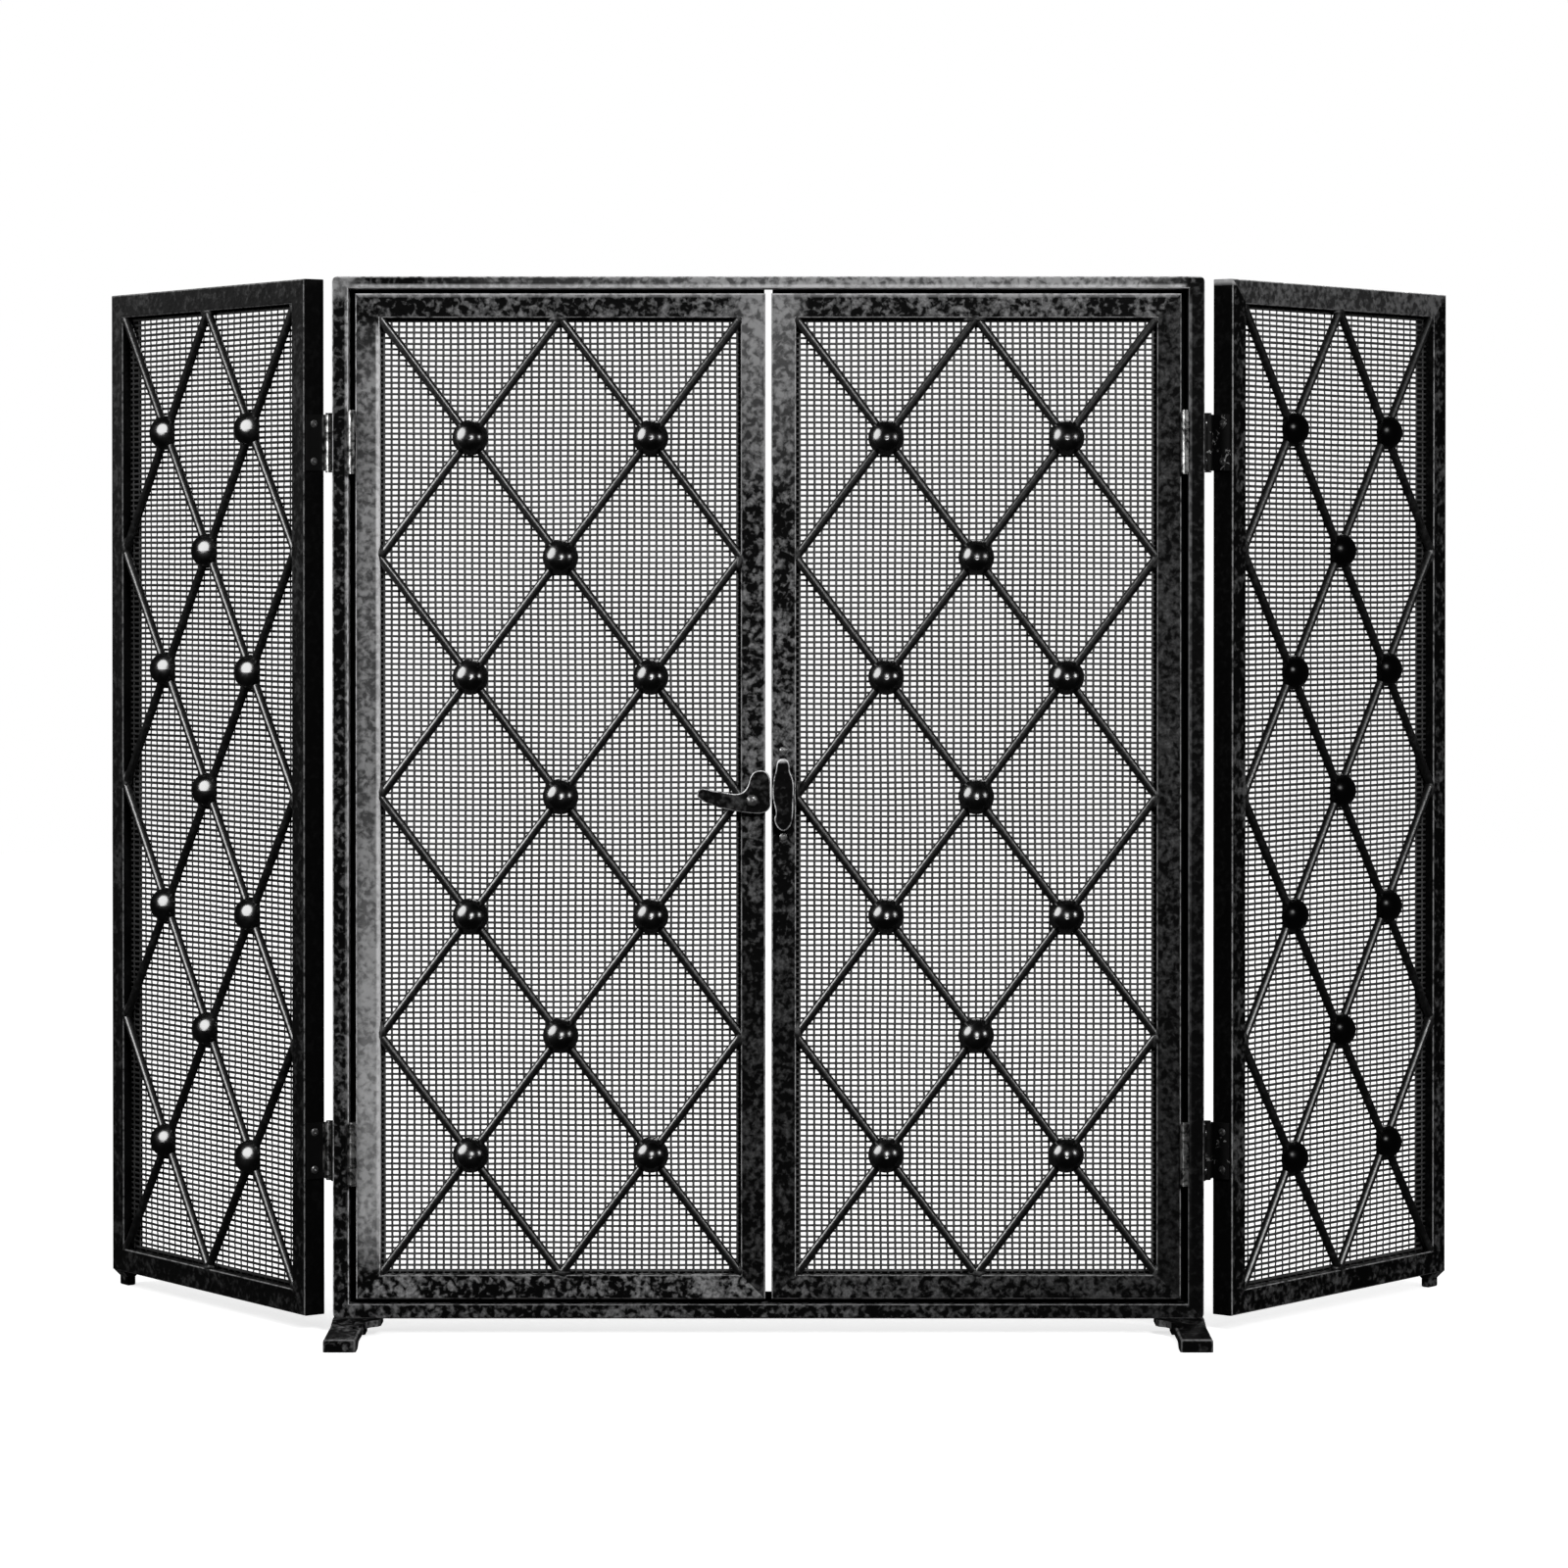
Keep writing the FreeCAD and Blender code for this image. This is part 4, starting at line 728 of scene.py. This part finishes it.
    # painted shade: the grey fades towards the right, away from the light
    elif name == "frame_bottom_rail":
        mat = iron("bar_" + name, angle, None, edge=0.30, shift=frame_shift, grey=0.24,
                   patches=(0.475, 0.605), dim=[("X", 0.0, 0.26, 1.0, 0.30)])
    # painted light and shade: the left door's rail gets more grey than the right door's, and the grey fades
    # towards the right, away from the light
    elif name in ("left_door_bottom_rail", "right_door_bottom_rail"):
        mat = iron("bar_" + name, angle, None, edge=0.35, shift=frame_shift,
                   grey=0.42 if panel == "left_door" else 0.22, patches=(0.470, 0.600),
                   dim=[("X", 0.0, 0.26, 1.0, 0.40)])
    # painted broad light: a smooth lighter grey along the whole rail, and painted shade on its side faces
    elif name == "right_wing_top_rail":
        mat = iron("bar_" + name, angle, None, edge=0.4, shift=frame_shift, shaded_sides=True,
                   grey=0.05, pale=[([("Z", 0.0, 2.0, 0.1, 0.1)], 0.80, 0.15)])
    # painted highlight: a bright patch at the top corner, and painted shade on its side faces
    elif name == "right_wing_inner_stile":
        mat = iron("bar_" + name, angle, None, edge=0.4, shift=frame_shift, shaded_sides=True,
                   grey=0.12, pale=[([("Z", high.z - 0.005, high.z + 0.1, 0.003, 0.01)], 0.3, 0.75)])
    # painted shade: the left wing's bars get far less grey than the doors' bars, and painted shade on their
    # side faces
    elif panel == "left_wing":
        mat = iron("bar_" + name, angle, None, edge=0.30, shift=frame_shift, shaded_sides=True,
                   grey=0.07)
    # painted shade: these bars get less grey than the doors' bars, and painted shade on their side faces
    else:
        mat = iron("bar_" + name, angle, None, edge=0.35, shift=frame_shift, shaded_sides=True,
                   grey=0.13)
    dress(name, mat)

# ------------------------------------------------------------------ floor

FLOOR_R = 6.0
fv = [(FLOOR_R * math.cos(a), FLOOR_R * math.sin(a), 0.0)
      for a in [2 * math.pi * k / 128 for k in range(128)]]
floor = make_object("floor", fv, [list(range(128))], smooth=False)
floor.visible_glossy = False
floor.visible_diffuse = False
g = Graph("floor_pale")
at = g.coords(0.0, (1.0, 1.0, 1.0), (0, 0, 0))
g.put(g.bsdf.inputs["Base Color"],
      g.mix(g.noise(at, 5.0, 3.0), (0.80, 0.80, 0.80), (0.84, 0.84, 0.84)))
g.bsdf.inputs["Roughness"].default_value = 0.9
g.bsdf.inputs["Specular IOR Level"].default_value = 0.1
g.bsdf.inputs["Emission Color"].default_value = (1.0, 1.0, 1.0, 1.0)
g.bsdf.inputs["Emission Strength"].default_value = 0.72
floor.data.materials.append(g.mat)

# ------------------------------------------------------------------ light

world = bpy.data.worlds.new("studio")
scene.world = world
world.use_nodes = True
wt = world.node_tree
wt.nodes.clear()
w_out = wt.nodes.new("ShaderNodeOutputWorld")
w_see = wt.nodes.new("ShaderNodeBackground")
w_lit = wt.nodes.new("ShaderNodeBackground")
w_mix = wt.nodes.new("ShaderNodeMixShader")
w_path = wt.nodes.new("ShaderNodeLightPath")
w_see.inputs["Color"].default_value = (1.0, 1.0, 1.0, 1.0)
w_see.inputs["Strength"].default_value = 1.0
w_lit.inputs["Color"].default_value = (1.0, 1.0, 1.0, 1.0)
w_lit.inputs["Strength"].default_value = 0.015
wt.links.new(w_path.outputs["Is Camera Ray"], w_mix.inputs["Fac"])
wt.links.new(w_lit.outputs[0], w_mix.inputs[1])
wt.links.new(w_see.outputs[0], w_mix.inputs[2])
wt.links.new(w_mix.outputs[0], w_out.inputs["Surface"])


def softbox(name, direction, distance, size, power, aim=(0.0, 0.0, 0.42), size_y=None):
    d = Vector(direction).normalized()
    data = bpy.data.lights.new(name, "AREA")
    data.shape = "RECTANGLE" if size_y else "DISK"
    data.size = size
    if size_y:
        data.size_y = size_y
    data.energy = power
    ob = bpy.data.objects.new(name, data)
    scene.collection.objects.link(ob)
    ob.location = Vector(aim) + d * distance
    ob.rotation_mode = "QUATERNION"
    ob.rotation_quaternion = (-d).to_track_quat("-Z", "Y")
    ob.visible_camera = False
    return ob


key = softbox("key_left", (-0.885, -0.30, 0.43), 2.2, 0.80, 13.0)
front = softbox("front_near_camera", (0.26, -0.84, 0.48), 3.4, 0.70, 50.0)
fill = softbox("fill_right", (0.775, -0.53, 0.34), 3.2, 0.60, 16.0)


def only(light, *ends):
    """Let a light fall only on the pieces whose names end so."""
    group = bpy.data.collections.new("lit_by_" + light.name)
    for ob in scene.objects:
        if ob.type == "MESH" and any(e in ob.name for e in ends):
            group.objects.link(ob)
    light.light_linking.receiver_collection = group


# the domes have lights of their own, or each of these would add a spot to them
for light in (key, front, fill):
    only(light, *[ob.name for ob in scene.objects
                  if ob.type == "MESH" and not ob.name.endswith("_domes")])

# the rods' upper left sides, the domes' highlights, the hinge barrels and the latch's edges
only(softbox("rod_light", (-0.80, -0.52, 0.42), 1.7, 0.8, 17.0),
     *(p + k for p in ("left_door", "right_door", "left_wing") for k in ("_rods", "_weld")))
only(softbox("rod_light_right", (0.66, -0.66, 0.36), 2.2, 0.8, 20.0),
     "right_wing_rods", "right_wing_weld")
only(softbox("dome_light", (-0.86, -0.34, 0.44), 2.0, 2.0, 105.0),
     "left_door_domes", "right_door_domes")
only(softbox("dome_front", (0.10, -0.98, 0.14), 2.6, 0.90, 36.0),
     "left_door_domes", "right_door_domes")
only(softbox("dome_right", (0.84, -0.50, 0.16), 2.6, 0.70, 18.0),
     "left_door_domes", "right_door_domes")
only(softbox("wing_dome_light", (-0.56, -0.70, 0.46), 1.7, 2.1, 130.0), "left_wing_domes")
only(softbox("right_wing_dome_light", (0.20, -0.90, 0.36), 2.6, 0.9, 7.0), "right_wing_domes")
only(softbox("hinge_light", (-0.62, -0.78, 0.10), 2.4, 0.8, 14.0),
     "hinge_leaves", "hinge_frame_leaves", "hinge_pins", "left_wing_hinge_screws",
     "latch_pivot", "keeper_screws")
only(softbox("latch_light", (-0.34, -0.72, 0.60), 2.4, 0.6, 44.0),
     "latch_lever", "keeper", "latch_boss")
# the back, which the front lights don't reach
behind = ("_rail", "_stile", "_retainer", "strips", "feet", "peg", "hinge", "screws", "latch",
          "keeper")
only(softbox("back_light", (0.42, 0.76, 0.50), 3.2, 1.2, 75.0), *behind)
only(softbox("back_fill", (-0.72, 0.56, 0.40), 3.2, 1.0, 34.0), *behind)
only(softbox("back_soft", (0.10, 0.80, 0.60), 3.2, 1.6, 22.0), "_rods", "_weld", "_domes")
sun = bpy.data.lights.new("floor_light", "SUN")
sun.energy = 1.35
sun.angle = math.radians(70)
sun_ob = bpy.data.objects.new("floor_light", sun)
scene.collection.objects.link(sun_ob)
sun_ob.rotation_euler = (math.radians(12), math.radians(-10), 0)
only_floor = bpy.data.collections.new("lit_by_floor_light")
only_floor.objects.link(floor)
sun_ob.light_linking.receiver_collection = only_floor

# ------------------------------------------------------------------ camera

cam_data = bpy.data.cameras.new("camera")
cam = bpy.data.objects.new("camera", cam_data)
scene.collection.objects.link(cam)
cam_data.sensor_width = 36.0
cam_data.lens = 113.198
cam_data.shift_y = -0.114714
cam_data.clip_start = 0.05
cam_data.clip_end = 100.0
cam.location = (0.0049, -3.7544, 0.5792)
cam.rotation_euler = (math.radians(89.4438), 0.0, 0.0)
scene.camera = cam

scene.view_settings.view_transform = "Standard"
scene.view_settings.look = "None"
scene.view_settings.exposure = 0.0
scene.view_settings.gamma = 1.0
